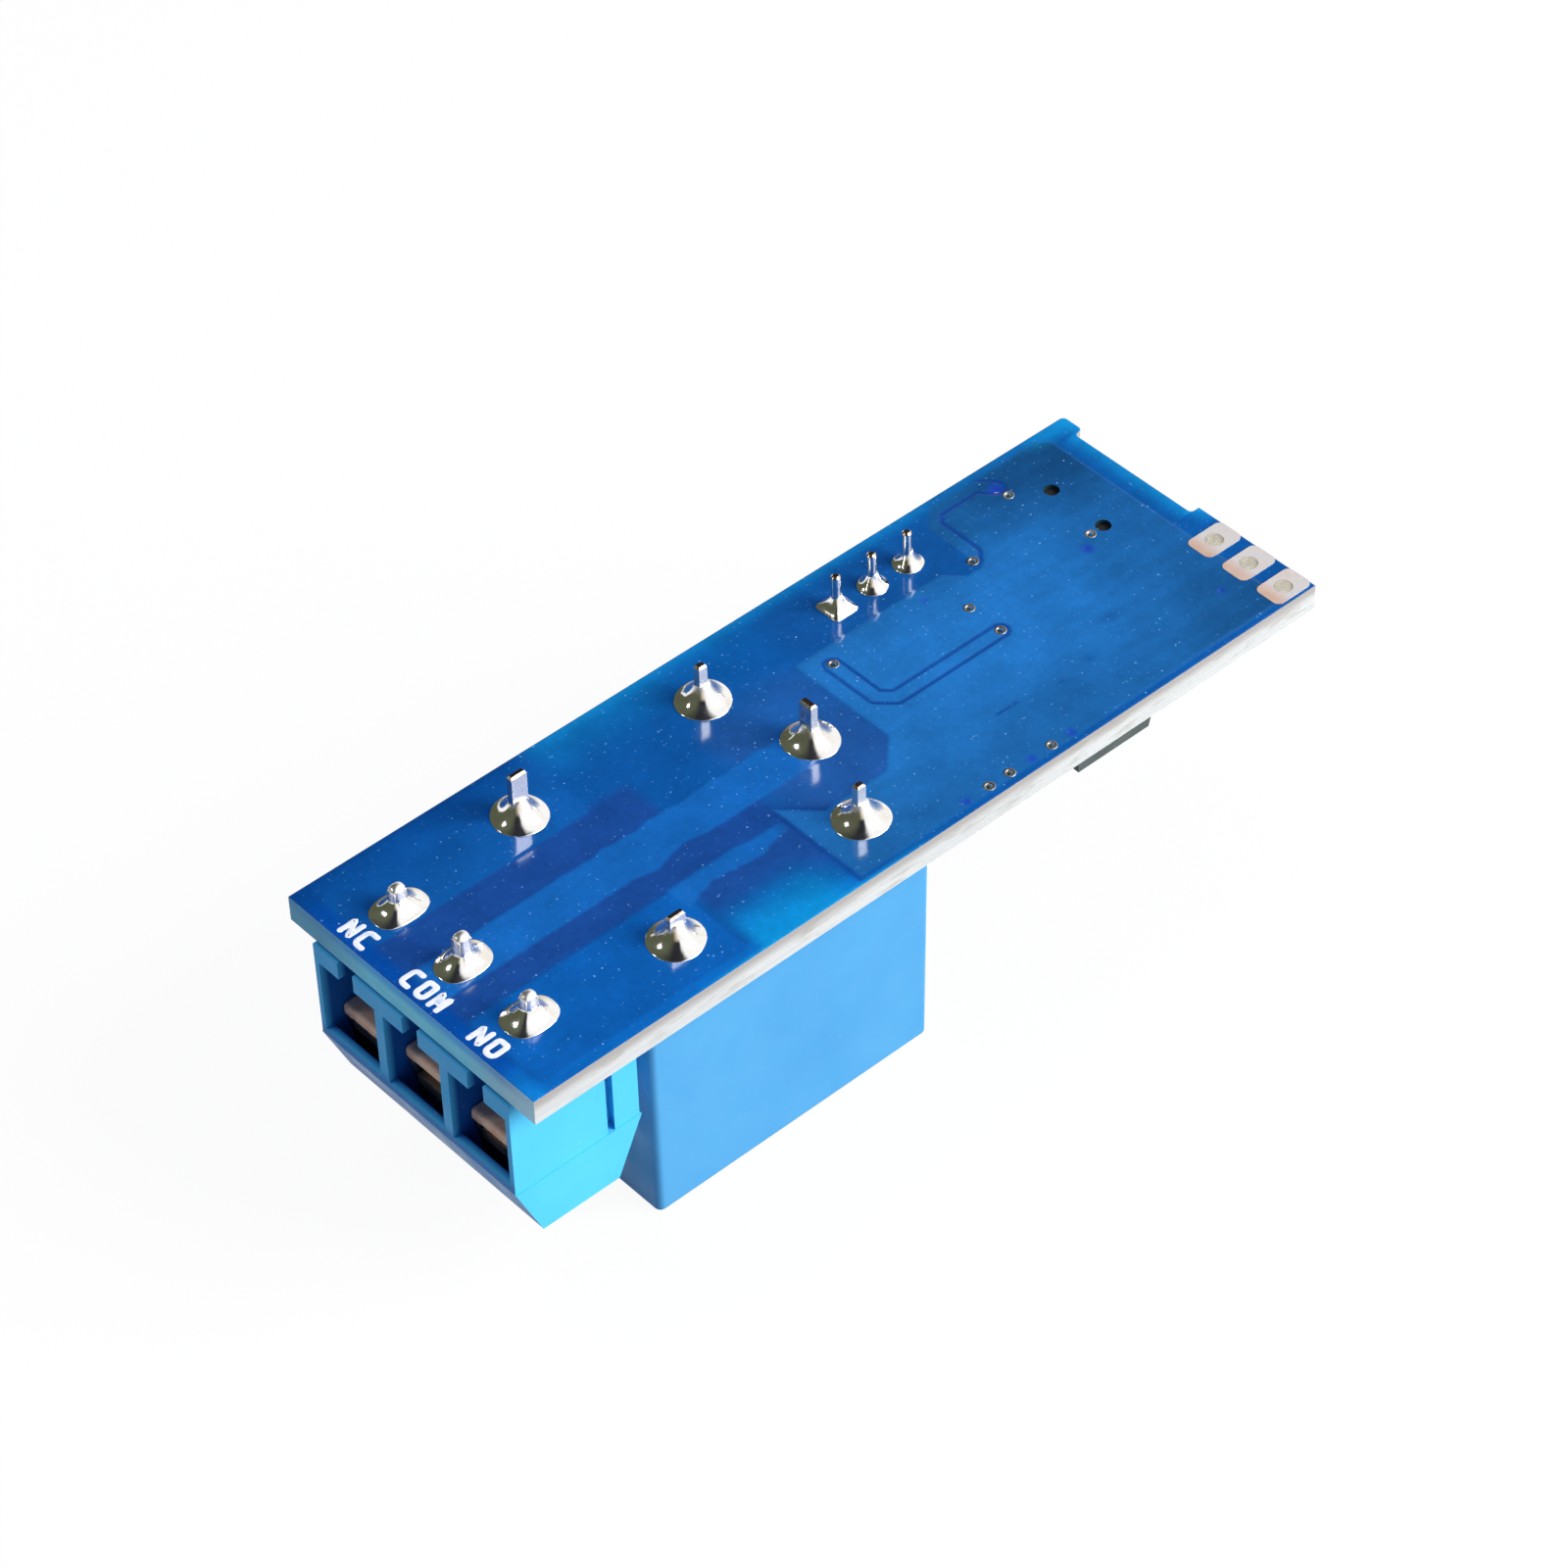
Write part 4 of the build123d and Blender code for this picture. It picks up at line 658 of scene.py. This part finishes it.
def viaRings():
    # each via is one closed turned section: land on top, bore, land below
    look = viaLook
    ring, bore, stand, crown = look["ring"], look["bore"], look["stand"], look["crown"]
    land, bevel, wall = bore + look["land"], ring - look["bevel"], bore + look["wall"]
    up, down = board["solderSide"] + stand, board["partSide"] - stand
    section = [(ring, up - stand), (bevel, up + crown), (land, up + crown), (bore, up - stand), (bore, down + stand),
               (land, down - crown), (bevel, down - crown), (ring, down + look["foot"]), (wall, down + stand),
               (wall, up - stand)]
    a = np.linspace(0, 2 * math.pi, look["segments"], endpoint=False)
    r, z = np.array(section).T[:, :, None]
    points, faces = [], []
    for number, (x, y) in enumerate(openVias):
        form = boardPoint(x + r * np.cos(a), y + r * np.sin(a), z + 0 * a).reshape(-1, 3)
        faces += (gridFaces(len(section), len(a), True, True)[:, ::-1] + number * len(form)).tolist()
        points.append(form)
    return meshFrom("via_rings", np.concatenate(points), faces)


# printed legends
legendLook = {
    "stroke": 0.33,
    "ink": 0.016,       # thickness over the film
    "low": 0.24,        # x of the letters' feet and heads
    "high": 1.60,
    "words": [("NC", 15.56, 13.50), ("COM", 10.82, 7.72), ("NO", 5.56, 3.44)],
    "gap": 0.20,
}
# centre lines of the letters in a box of one by one; a closed letter ends where it starts
letterLines = {
    "N": [(0, 0), (0, 1), (1, 0), (1, 1)],
    "C": [(1, 1), (0, 1), (0, 0), (1, 0)],
    "O": [(0.5, 1), (0, 1), (0, 0), (1, 0), (1, 1), (0.5, 1)],
    "M": [(0, 0), (0, 1), (0.5, 0.3), (1, 1), (1, 0)],
}
letterRound = {"N": 0.10, "C": 0.34, "O": 0.34, "M": 0.10}


def roundedLine(points, radius):
    # each corner gives way to a short curve between points set back from it along both runs
    out = [points[0]]
    for before, corner, after in zip(points[:-2], points[1:-1], points[2:]):
        a, b = before - corner, after - corner
        la, lb = np.linalg.norm(a), np.linalg.norm(b)
        back = min(radius, la / 2, lb / 2)
        t = np.linspace(0, 1, 9)[:, None]
        start, end = corner + a / la * back, corner + b / lb * back
        out += list((1 - t) ** 2 * start + 2 * t * (1 - t) * corner + t * t * end)
    return np.array(out + [points[-1]])


def evenLine(points, count):
    # points at even distances along a path, those distances, and the path's length
    run = np.concatenate([[0], np.cumsum(np.linalg.norm(np.diff(points, axis=0), axis=1))])
    at = np.linspace(0, run[-1], count)
    return np.stack([np.interp(at, run, points[:, i]) for i in (0, 1)], axis=1), at, run[-1]


def inkStroke(points, width, closed):
    # a flat round-ended ribbon: the half width follows a circle at the ends, the section is a low arch
    line, at, total = evenLine(points, 72)
    along = np.gradient(line, axis=0)
    along /= np.linalg.norm(along, axis=1)[:, None]
    side = np.stack([-along[:, 1], along[:, 0]], axis=1)
    half = width / 2
    toEnd = np.minimum(at, total - at)
    circle = np.sqrt(np.clip(1 - ((half - np.minimum(toEnd, half)) / half) ** 2, 0.004, 1))
    taper = np.ones(len(at)) if closed else circle
    across = np.array([-1, -0.86, -0.4, 0.4, 0.86, 1])
    lift = np.array([0, 0.85, 1, 1, 0.85, 0]) * legendLook["ink"]
    x = line[:, :1] + side[:, :1] * across * half * taper[:, None]
    y = line[:, 1:] + side[:, 1:] * across * half * taper[:, None]
    return x, y, filmTop(x, y) + lift - 0.002


def legends():
    # the letters of each word side by side along y, with their feet towards the terminal
    points, faces, start = [], [], 0
    look = legendLook
    half = look["stroke"] / 2
    for word, first, last in look["words"]:
        wide = (first - last - look["gap"] * (len(word) - 1)) / len(word)
        for number, letter in enumerate(word):
            edge = first - number * (wide + look["gap"])
            line = np.array(letterLines[letter], float)
            over = 0 if letter == "O" else half * 0.9
            x = look["low"] + half + line[:, 1] * (look["high"] - look["low"] - 2 * half)
            y = edge - half - line[:, 0] * (wide - 2 * half)
            path = roundedLine(np.stack([x, y], axis=1), letterRound[letter])
            if over:        # open ends run on by about half a stroke, so that they end round at the box
                path[0] += (path[0] - path[1]) / np.linalg.norm(path[0] - path[1]) * over
                path[-1] += (path[-1] - path[-2]) / np.linalg.norm(path[-1] - path[-2]) * over
            sx, sy, sz = inkStroke(path, look["stroke"], not over)
            points.append(boardPoint(sx, sy, sz).reshape(-1, 3))
            faces += (gridFaces(*sx.shape) + start).tolist()
            start += sx.size
    return meshFrom("legends", np.concatenate(points), faces)


# looks of the solids, lengths in mm and noise scales in 1/m
plastics = {
    "relayBlue": {"tone": (0.088, 0.380, 0.67), "shade": (0.076, 0.345, 0.64), "roughness": 0.46, "cloud": 200,
                  "grain": 5200, "depth": 0.006, "wave": 0.008, "dust": 0.10, "shine": 0.16},
    "relayPlate": {"tone": (0.05, 0.17, 0.42), "shade": (0.035, 0.12, 0.34), "roughness": 0.5, "cloud": 300,
                   "grain": 5200, "depth": 0.014, "wave": 0.02, "dust": 0.3},
    "terminalBlue": {"tone": (0.102, 0.610, 0.90), "shade": (0.090, 0.570, 0.88), "roughness": 0.36, "cloud": 240,
                     "grain": 4200, "depth": 0.006, "wave": 0.010, "dust": 0.10, "shine": 0.06,
                     # painted shade: a deep tone on the walls inside the cells, and a darker tone on the front faces
                     # below the shoulder
                     "innerShade": {"tone": (0.008, 0.120, 0.420), "front": -27.05, "back": -21.3, "half": 7.25,
                               "low": 4.85, "shoulder": 8.4, "lean": 1.5, "fade": (0.4, 1.0), "above": 0.3,
                               "frontShadeTone": (0.030, 0.240, 0.54)}},
    "trimmerBlue": {"tone": (0.030, 0.150, 0.50), "shade": (0.022, 0.120, 0.44), "roughness": 0.42, "cloud": 330,
                    "grain": 5200, "depth": 0.012, "wave": 0.02, "dust": 0.3},
    "bobbinWhite": {"tone": (0.80, 0.78, 0.70), "shade": (0.70, 0.67, 0.58), "roughness": 0.5, "cloud": 300,
                    "grain": 5200, "depth": 0.010, "wave": 0.02, "dust": 0.1},
    "insulatorBlack": {"tone": (0.012, 0.012, 0.013), "shade": (0.022, 0.022, 0.024), "roughness": 0.45, "cloud": 420,
                       "grain": 5200, "depth": 0.012, "wave": 0.02, "dust": 0.3},
    "chipBlack": {"tone": (0.066, 0.086, 0.080), "shade": (0.046, 0.062, 0.058), "roughness": 0.55, "cloud": 420,
                  "grain": 6800, "depth": 0.020, "wave": 0.01, "dust": 0.4},
}
metals = {
    "zincScrew": {"tone": (0.72, 0.73, 0.74), "shade": (0.56, 0.57, 0.57), "roughness": 0.30, "patch": 700,
                  "lines": (3600, 3600, 500), "depth": 0.012},
    "tinStrip": {"tone": (0.70, 0.67, 0.60), "shade": (0.55, 0.50, 0.42), "roughness": 0.34, "patch": 700,
                 "lines": (900, 900, 4200), "depth": 0.012},
    "nickelShell": {"tone": (0.74, 0.73, 0.71), "shade": (0.62, 0.61, 0.58), "roughness": 0.24, "patch": 500,
                    "lines": (700, 4800, 4800), "depth": 0.008},
    "goldStrip": {"tone": (0.86, 0.62, 0.24), "shade": (0.72, 0.50, 0.18), "roughness": 0.25, "patch": 800,
                  "lines": (900, 4200, 4200), "depth": 0.006},
    "platedIron": {"tone": (0.62, 0.62, 0.61), "shade": (0.48, 0.48, 0.46), "roughness": 0.34, "patch": 600,
                   "lines": (900, 4800, 900), "depth": 0.012},
    "springCopper": {"tone": (0.80, 0.50, 0.34), "shade": (0.64, 0.38, 0.24), "roughness": 0.30, "patch": 700,
                     "lines": (4200, 900, 900), "depth": 0.008},
    "silverFace": {"tone": (0.86, 0.85, 0.82), "shade": (0.74, 0.72, 0.68), "roughness": 0.22, "patch": 900,
                   "lines": (1500, 1500, 1500), "depth": 0.006},
    "turnedBrass": {"tone": (0.80, 0.62, 0.28), "shade": (0.66, 0.49, 0.20), "roughness": 0.28, "patch": 800,
                    "lines": (1200, 1200, 6200), "depth": 0.008},
    "viaTin": {"tone": (0.40, 0.40, 0.40), "shade": (0.22, 0.21, 0.20), "roughness": 0.42, "patch": 900,
               "lines": (1500, 1500, 1500), "depth": 0.010},
}


pinLook = {"tones": ((0.74, 0.73, 0.71), (0.84, 0.83, 0.80)), "sheared": (0.66, 0.48, 0.34),
           "lines": (6200, 6200, 700), "roughness": (0.10, 0.22), "depth": 0.012}


def pinMaterial():
    # tinned pin: bright sides with drawn lines along it, bare brown metal where the end was sheared
    look = pinLook
    material, shader, place = newMaterial("tinnedPin", 0.16, 1.0)
    sheared = between(facing(place, "Z"), 0.3, 0.75)
    worn = blend(noise(place, 2600, 3), *look["tones"])
    lines = noise(scaled(place, look["lines"]), 1.0, 3, 0.6)
    rough = between(lines, 0.3, 0.7, *look["roughness"])
    fill(shader, {"Base Color": blend(sheared, worn, look["sheared"]), "Roughness": rough})
    bump(shader, lines, look["depth"], 0.6)
    return material


# tones of the bar and of the painted shade below it, and how far under the bar's top that shade is full and ends
cageLook = {"tones": ((0.98, 0.50, 0.27), (1.0, 0.76, 0.48)), "paintedShade": (0.008, 0.024, 0.050), "below": (0.78, 0.60),
            "lines": (900, 5200, 900), "roughness": 0.55, "depth": 0.02}


def cageMaterial(name, top):
    # folded strip with a dull coppery bloom on its upper bar, which light reaches; painted shade, a dark tone, below
    # it
    look = cageLook
    material, shader, place = newMaterial(name + "Finish", look["roughness"])
    grain = noise(scaled(place, look["lines"]), 1.0, 4, 0.65)
    bar = blend(between(grain, 0.3, 0.7), *look["tones"])
    full, clear = (top - under * mm for under in look["below"])
    # painted shade: dark below the bar, where the cell lies in shade
    low = between(part(place, "Z"), full, clear, 1, 0)
    fill(shader, {"Base Color": blend(low, bar, look["paintedShade"])})
    bump(shader, grain, look["depth"], 0.6)
    return material


padLook = {
    "salmon": (0.74, 0.50, 0.36),
    "pale": (0.80, 0.75, 0.68),
    "turn": (24.6, 25.3),        # x from the middle between which one gives way to the other
    "patch": (0.72, 0.56, 0.45),
    "bore": (0.90, 0.88, 0.80),
    "boreRadius": 0.49,
    "roughness": (0.28, 0.48),
    "depth": 0.012,
}


def padMaterial():
    # tinned copper: salmon at the inner end, pale and even round the wire hole
    look = padLook
    material, shader, place = newMaterial("padTin", 0.40, 0.35)
    along = between(part(place, "X"), look["turn"][0] * mm, look["turn"][1] * mm)
    tint = blend(along, look["salmon"], look["pale"])
    patch = noise(place, 1100, 4, 0.6)
    tint = blend(ramp(patch, [(0.45, 0.0), (0.70, 0.6)]), tint, look["patch"])
    bore = inColumn(place, *wireHoles[0], look["boreRadius"])
    for hole in wireHoles[1:]:
        bore = joined("MAXIMUM", bore, inColumn(place, *hole, look["boreRadius"]))
    rough = joined("SUBTRACT", between(patch, 0.3, 0.7, *look["roughness"]), between(bore, 0, 1, 0, 0.2))
    fill(shader, {"Base Color": blend(bore, tint, look["bore"]), "Roughness": rough,
                  "Metallic": between(bore, 0, 1, 0.35, 0.9)})
    bump(shader, patch, look["depth"], 0.5)
    return material


laminateLook = {        # y from the middle and z in mm
    "layers": ((0.50, 0.505, 0.47), (0.74, 0.75, 0.71)),
    "worn": (0.36, 0.34, 0.27),
    "upper": ((15.8, 16.3), (0.36, 0.33, 0.295), 0.85),        # z from and to, tone, share
    "sea": ((0.17, 0.62, 0.76), (0.34, 0.96, 1.0)),            # the end under the terminal
    "seaUpper": ((0.075, 0.44, 0.86), 0.8),
    "seaFar": ((3.0, 7.0), (0.13, 0.36, 0.48), 0.75),
    "seaStart": ((-9.3, -4.0), 0.35),
    # painted light: a pale cyan towards the near corner of the end face
    "corner": ((-9.5, -7.0), (0.62, 1.0, 1.0), 0.8),
    # painted shade: a near-black tone on the walls of the peg holes
    "pegHoleShade": (0.5, (0.010, 0.030, 0.032)),                   # radius, tone
    "film": ((0.006, 0.10, 0.36), (0.010, 0.13, 0.43)),        # on the part side
    "roughness": (0.62, 0.16),                                 # of the laminate and of the film
    "depth": 0.02,
}


def laminateMaterial():
    # bare board: glass-fibre layers along the cut edge, greener towards the terminal end, blue film on the part side
    look = laminateLook
    material, shader, place = newMaterial("cutLaminate", look["roughness"][0])
    y, z = part(place, "Y"), part(place, "Z")
    layers = noise(scaled(place, (260, 260, 9000)), 1.0, 3, 0.6)
    worn = ramp(noise(scaled(place, (300, 300, 1800)), 1.0, 5, 0.7), [(0.52, 0.0), (0.70, 0.75)])
    edge = blend(worn, blend(layers, *look["layers"]), look["worn"])
    (start, end), tone, share = look["upper"]
    upper = between(z, start * mm, end * mm)
    edge = blend(between(upper, 0, 1, 0, share), edge, tone)
    sea = blend(noise(scaled(place, (900, 500, 1600)), 1.0, 4), *look["sea"])
    tone, share = look["seaUpper"]
    sea = blend(between(upper, 0, 1, 0, share), sea, tone)
    (start, end), tone, share = look["seaFar"]
    sea = blend(between(y, start * mm, end * mm, 0, share), sea, tone)
    ends = between(facing(place, "X"), -0.9, -0.5, 1.0, 0.0)
    (start, end), share = look["seaStart"]
    near = between(y, start * mm, end * mm, share, 1.0)
    edge = blend(joined("MULTIPLY", ends, near), edge, sea)
    # painted light brightening the end face's near corner
    (start, end), tone, share = look["corner"]
    pale = between(y, start * mm, end * mm, share, 0.0)
    edge = blend(joined("MULTIPLY", ends, pale), edge, tone)
    # painted shade inside the peg holes
    radius, tone = look["pegHoleShade"]
    for hole in pegHoles:
        edge = blend(inColumn(place, *hole, radius), edge, tone)
    film = blend(noise(place, 500, 4), *look["film"])
    under = between(facing(place, "Z"), -0.9, -0.5, 1.0, 0.0)
    fill(shader, {"Base Color": blend(under, edge, film), "Roughness": between(under, 0, 1, *look["roughness"]),
                  "Specular IOR Level": 0.25})
    bump(shader, noise(scaled(place, (1500, 1500, 5200)), 1.0, 3, 0.7), look["depth"], 0.6)
    return material


wireLook = {"tones": ((0.30, 0.09, 0.03), (0.62, 0.24, 0.08)), "turns": 1600, "uneven": 0.6, "depth": 0.04}


def windingMaterial():
    # enamelled wire: fine turns across the coil's axis
    material, shader, place = newMaterial("enamelWire", 0.3, 0.6)
    inputs = {"Vector": place, "Scale": wireLook["turns"], "Distortion": wireLook["uneven"]}
    turns = addNode(material.node_tree, "TexWave", inputs)
    turns.bands_direction = "Z"
    fill(shader, {"Base Color": blend(turns.outputs["Fac"], *wireLook["tones"])})
    bump(shader, turns.outputs["Fac"], wireLook["depth"], 0.8)
    return material


chipLook = {
    "tin": ((0.74, 0.73, 0.70), (0.86, 0.85, 0.82)),
    "cap": (0.37, 0.33),        # distances from the end at which the tin starts and is full
    "depth": 0.012,
    "bodies": {
        "resistor": ((0.012, 0.012, 0.014), (0.03, 0.03, 0.034)),
        "capacitor": ((0.50, 0.36, 0.22), (0.60, 0.45, 0.30)),
        "lamp": ((0.80, 0.80, 0.66), (0.90, 0.90, 0.80)),
    },
}


def endCapMaterial(name, tones):
    # a chip part: a body of one finish between tinned ends, told apart by the distance from its middle along y
    material, shader, place = newMaterial(name + "Finish", 0.4)
    low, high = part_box(name)
    middle, half = (high.y + low.y) / 2, (high.y - low.y) / 2
    away = joined("ABSOLUTE", joined("SUBTRACT", part(place, "Y"), middle), 0)
    ends = between(away, *(half - cap * mm for cap in chipLook["cap"]))
    grain = noise(place, 2600, 3)
    colour = blend(ends, blend(grain, *tones), blend(grain, *chipLook["tin"]))
    fill(shader, {"Base Color": colour, "Metallic": between(ends, 0, 1, 0.0, 1.0)})
    bump(shader, grain, chipLook["depth"], 0.5)
    return material


inkLook = {"thin": (0.55, 0.66, 0.80), "full": (0.86, 0.87, 0.88), "depth": 0.01}


def inkMaterial():
    # white ink that lets a little blue through in patches
    material, shader, place = newMaterial("whiteInk", 0.55)
    cover = ramp(noise(place, 2200, 4, 0.7), [(0.30, 0.0), (0.45, 1.0)])
    fill(shader, {"Base Color": blend(cover, inkLook["thin"], inkLook["full"])})
    bump(shader, noise(place, 5200, 3), inkLook["depth"], 0.5)
    return material


print("materials")
finish = {name: moulding(name, look) for name, look in plastics.items()}
finish.update({name: metal(name, look) for name, look in metals.items()})
finish["tin"] = solderMaterial()
finish["pin"] = pinMaterial()
finish["laminate"] = laminateMaterial()
finish["pads"] = padMaterial()
finish["mask"] = maskMaterial()
finish["wire"] = windingMaterial()
finish["ink"] = inkMaterial()

dressing = {        # the start of a solid's name, and its look
    "board": "laminate", "edge_pad": "pads", "relay_cover": "relayBlue", "relay_base": "relayPlate",
    "relay_bobbin": "bobbinWhite", "relay_winding": "wire", "relay_core": "platedIron", "relay_armature": "platedIron",
    "relay_leaf": "springCopper", "relay_return_spring": "springCopper", "relay_moving_contact": "silverFace",
    "relay_yoke": "pin", "relay_closed_terminal": "pin", "relay_open_terminal": "pin", "relay_coil_pin": "pin",
    "trimmer_pin": "pin", "trimmer_body": "trimmerBlue", "trimmer_screw": "turnedBrass",
    "terminal_housing": "terminalBlue", "terminal_screw": "zincScrew", "terminal_contact": "tinStrip",
    "socket_shell": "nickelShell", "socket_insulator": "insulatorBlack", "socket_contacts": "goldStrip",
    "chip_leads": "tinStrip", "chip_body": "chipBlack", "transistor": "chipBlack", "diode": "chipBlack",
}
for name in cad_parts:
    for start, look in dressing.items():
        if name.startswith(start):
            dress(finish[look], name)
    for start, tones in chipLook["bodies"].items():
        if name.startswith(start):
            dress(endCapMaterial(name, tones), name)
    if name.startswith("terminal_cage"):
        dress(cageMaterial(name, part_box(name)[1].z), name)

print("solder joints")
jointSet("relay_joints", "relay", "relay_solder")
jointSet("terminal_joints", "terminal", "terminal_solder")
jointSet("trimmer_joints", "trimmer", "trimmer_solder")

print("solder mask")
film = maskSheet()
film.data.materials.append(finish["mask"])
rings = viaRings()
rings.data.materials.append(finish["viaTin"])
words = legends()
words.data.materials.append(finish["ink"])

# floor, light and camera
studio = {
    "floorHalf": 3,             # m
    "floorDrop": 5e-5,          # below the plane of rest, so that the two don't fight
    "floorTone": 0.95,          # as the camera sees it
    "floorBounce": 0.42,        # as it lights the object
    "floorGlow": 0.94,          # share of plain white that the camera sees in the floor
    "ambient": (0.125, 0.160, 0.320),
    "glossSide": (0.78, -0.60, 0.05),       # the bright side of the room, as gloss shows it
    "room": [(0.36, (0.09, 0.10, 0.06)), (0.44, (0.34, 0.27, 0.18)), (0.54, (0.74, 0.67, 0.56)),
             (0.65, (1.0, 1.0, 1.0))],
    "ceiling": [(0.28, (0.10, 0.11, 0.07)), (0.46, (0.02, 0.022, 0.028)), (0.60, (0.03, 0.03, 0.035)),
                (0.67, (1.0, 1.0, 1.0))],
    "ceilingFrom": (0.35, 0.55),            # height of the way out, between level 0 and upright 1
    "lampDistance": 0.5,
}
lamps = {
    "keyLamp": {"place": (0.47, -0.67, 0.52), "level": 1.64, "size": 0.34, "inGloss": True},
    "fillLamp": {"place": (-0.1, 0.35, 0.9), "level": 0.22, "size": 0.3, "inGloss": False},
    "glintLamp": {"place": (-0.62, 0.45, 0.64), "level": 0.08, "size": 0.08, "inGloss": True},
}
print("studio")


def makeFloor():
    # a plane that the camera and gloss see almost white, and that lights the object more weakly
    half, z = studio["floorHalf"], -studio["floorDrop"]
    mesh = bpy.data.meshes.new("floor")
    mesh.from_pydata([(-half, -half, z), (half, -half, z), (half, half, z), (-half, half, z)], [], [(0, 1, 2, 3)])
    floor = bpy.data.objects.new("floor", mesh)
    bpy.context.scene.collection.objects.link(floor)
    material, shader = newMaterial("paleFloor", 0.9)[:2]
    tree = material.node_tree
    fill(shader, {"Specular IOR Level": 0.0})
    glow = addNode(tree, "Emission", {"Strength": 1.0})
    rays = tree.nodes.new("ShaderNodeLightPath").outputs
    seen = joined("MAXIMUM", rays["Is Camera Ray"], rays["Is Glossy Ray"])
    seen = joined("MAXIMUM", seen, rays["Is Transmission Ray"])
    fill(shader, {"Base Color": between(seen, 0, 1, studio["floorBounce"], studio["floorTone"])})
    share = between(seen, 0, 1, 0, studio["floorGlow"])
    mixed = addNode(tree, "MixShader", {"Fac": share, 1: shader.outputs["BSDF"], 2: glow.outputs["Emission"]})
    fill(tree.nodes["Material Output"], {"Surface": mixed.outputs["Shader"]})
    mesh.materials.append(material)


def makeWorld():
    # the camera sees white; surfaces are lit by an even pale sky; gloss sees a room that is white on the
    # bright side, beige between and dark on the other side and overhead
    world = bpy.data.worlds.new("studioWorld")
    bpy.context.scene.world = world
    world.use_nodes = True
    tree = world.node_tree
    way = tree.nodes.new("ShaderNodeTexCoord").outputs["Generated"]
    across = addNode(tree, "VectorMath", {0: way, 1: studio["glossSide"]})
    across.operation = "DOT_PRODUCT"
    side = between(across.outputs["Value"], -1, 1)
    room, ceiling = ramp(side, studio["room"]), ramp(side, studio["ceiling"])
    gloss = blend(between(part(way, "Z"), *studio["ceilingFrom"]), room, ceiling)
    rays = tree.nodes.new("ShaderNodeLightPath").outputs
    seen = blend(rays["Is Glossy Ray"], studio["ambient"], gloss)
    for kind in ("Is Camera Ray", "Is Transmission Ray"):
        seen = blend(rays[kind], seen, (1.0, 1.0, 1.0))
    fill(tree.nodes["Background"], {"Color": seen, "Strength": 1.0})


def makeLamp(name, look):
    # power for a level at which a white face square to the lamp looks white: pi squared times distance squared
    distance = studio["lampDistance"]
    lamp = bpy.data.lights.new(name, "AREA")
    lamp.shape = "SQUARE"
    lamp.size = look["size"]
    lamp.energy = look["level"] * math.pi ** 2 * distance ** 2
    holder = bpy.data.objects.new(name, lamp)
    bpy.context.scene.collection.objects.link(holder)
    way = Vector(look["place"]).normalized()
    holder.location = way * distance
    holder.rotation_euler = (-way).to_track_quat("-Z", "Y").to_euler()
    holder.visible_glossy = look["inGloss"]


view = {
    "azimuth": -40.833,
    "elevation": 44.056,
    "roll": -1.728,
    "distance": 0.265484,
    "lens": 120.106,
    "target": (-0.003524, -0.001451, 0.0166),
}


def makeCamera():
    # the camera stands back from its target at two angles and rolls about its own line of sight
    a, e, r = (math.radians(view[k]) for k in ("azimuth", "elevation", "roll"))
    back = Vector((math.sin(a) * math.cos(e), -math.cos(a) * math.cos(e), math.sin(e)))
    right = Vector((math.cos(a), math.sin(a), 0))
    up = back.cross(right)
    right, up = right * math.cos(r) + up * math.sin(r), up * math.cos(r) - right * math.sin(r)
    camera = bpy.data.objects.new("camera", bpy.data.cameras.new("camera"))
    bpy.context.scene.collection.objects.link(camera)
    camera.data.sensor_width = 36
    camera.data.lens = view["lens"]
    camera.data.clip_start, camera.data.clip_end = 0.01, 10
    turn = Matrix((right, up, back)).transposed().to_4x4()
    camera.matrix_world = Matrix.Translation(Vector(view["target"]) + back * view["distance"]) @ turn
    bpy.context.scene.camera = camera


makeFloor()
makeWorld()
for name, look in lamps.items():
    makeLamp(name, look)
makeCamera()
bpy.context.scene.view_settings.view_transform = "Standard"
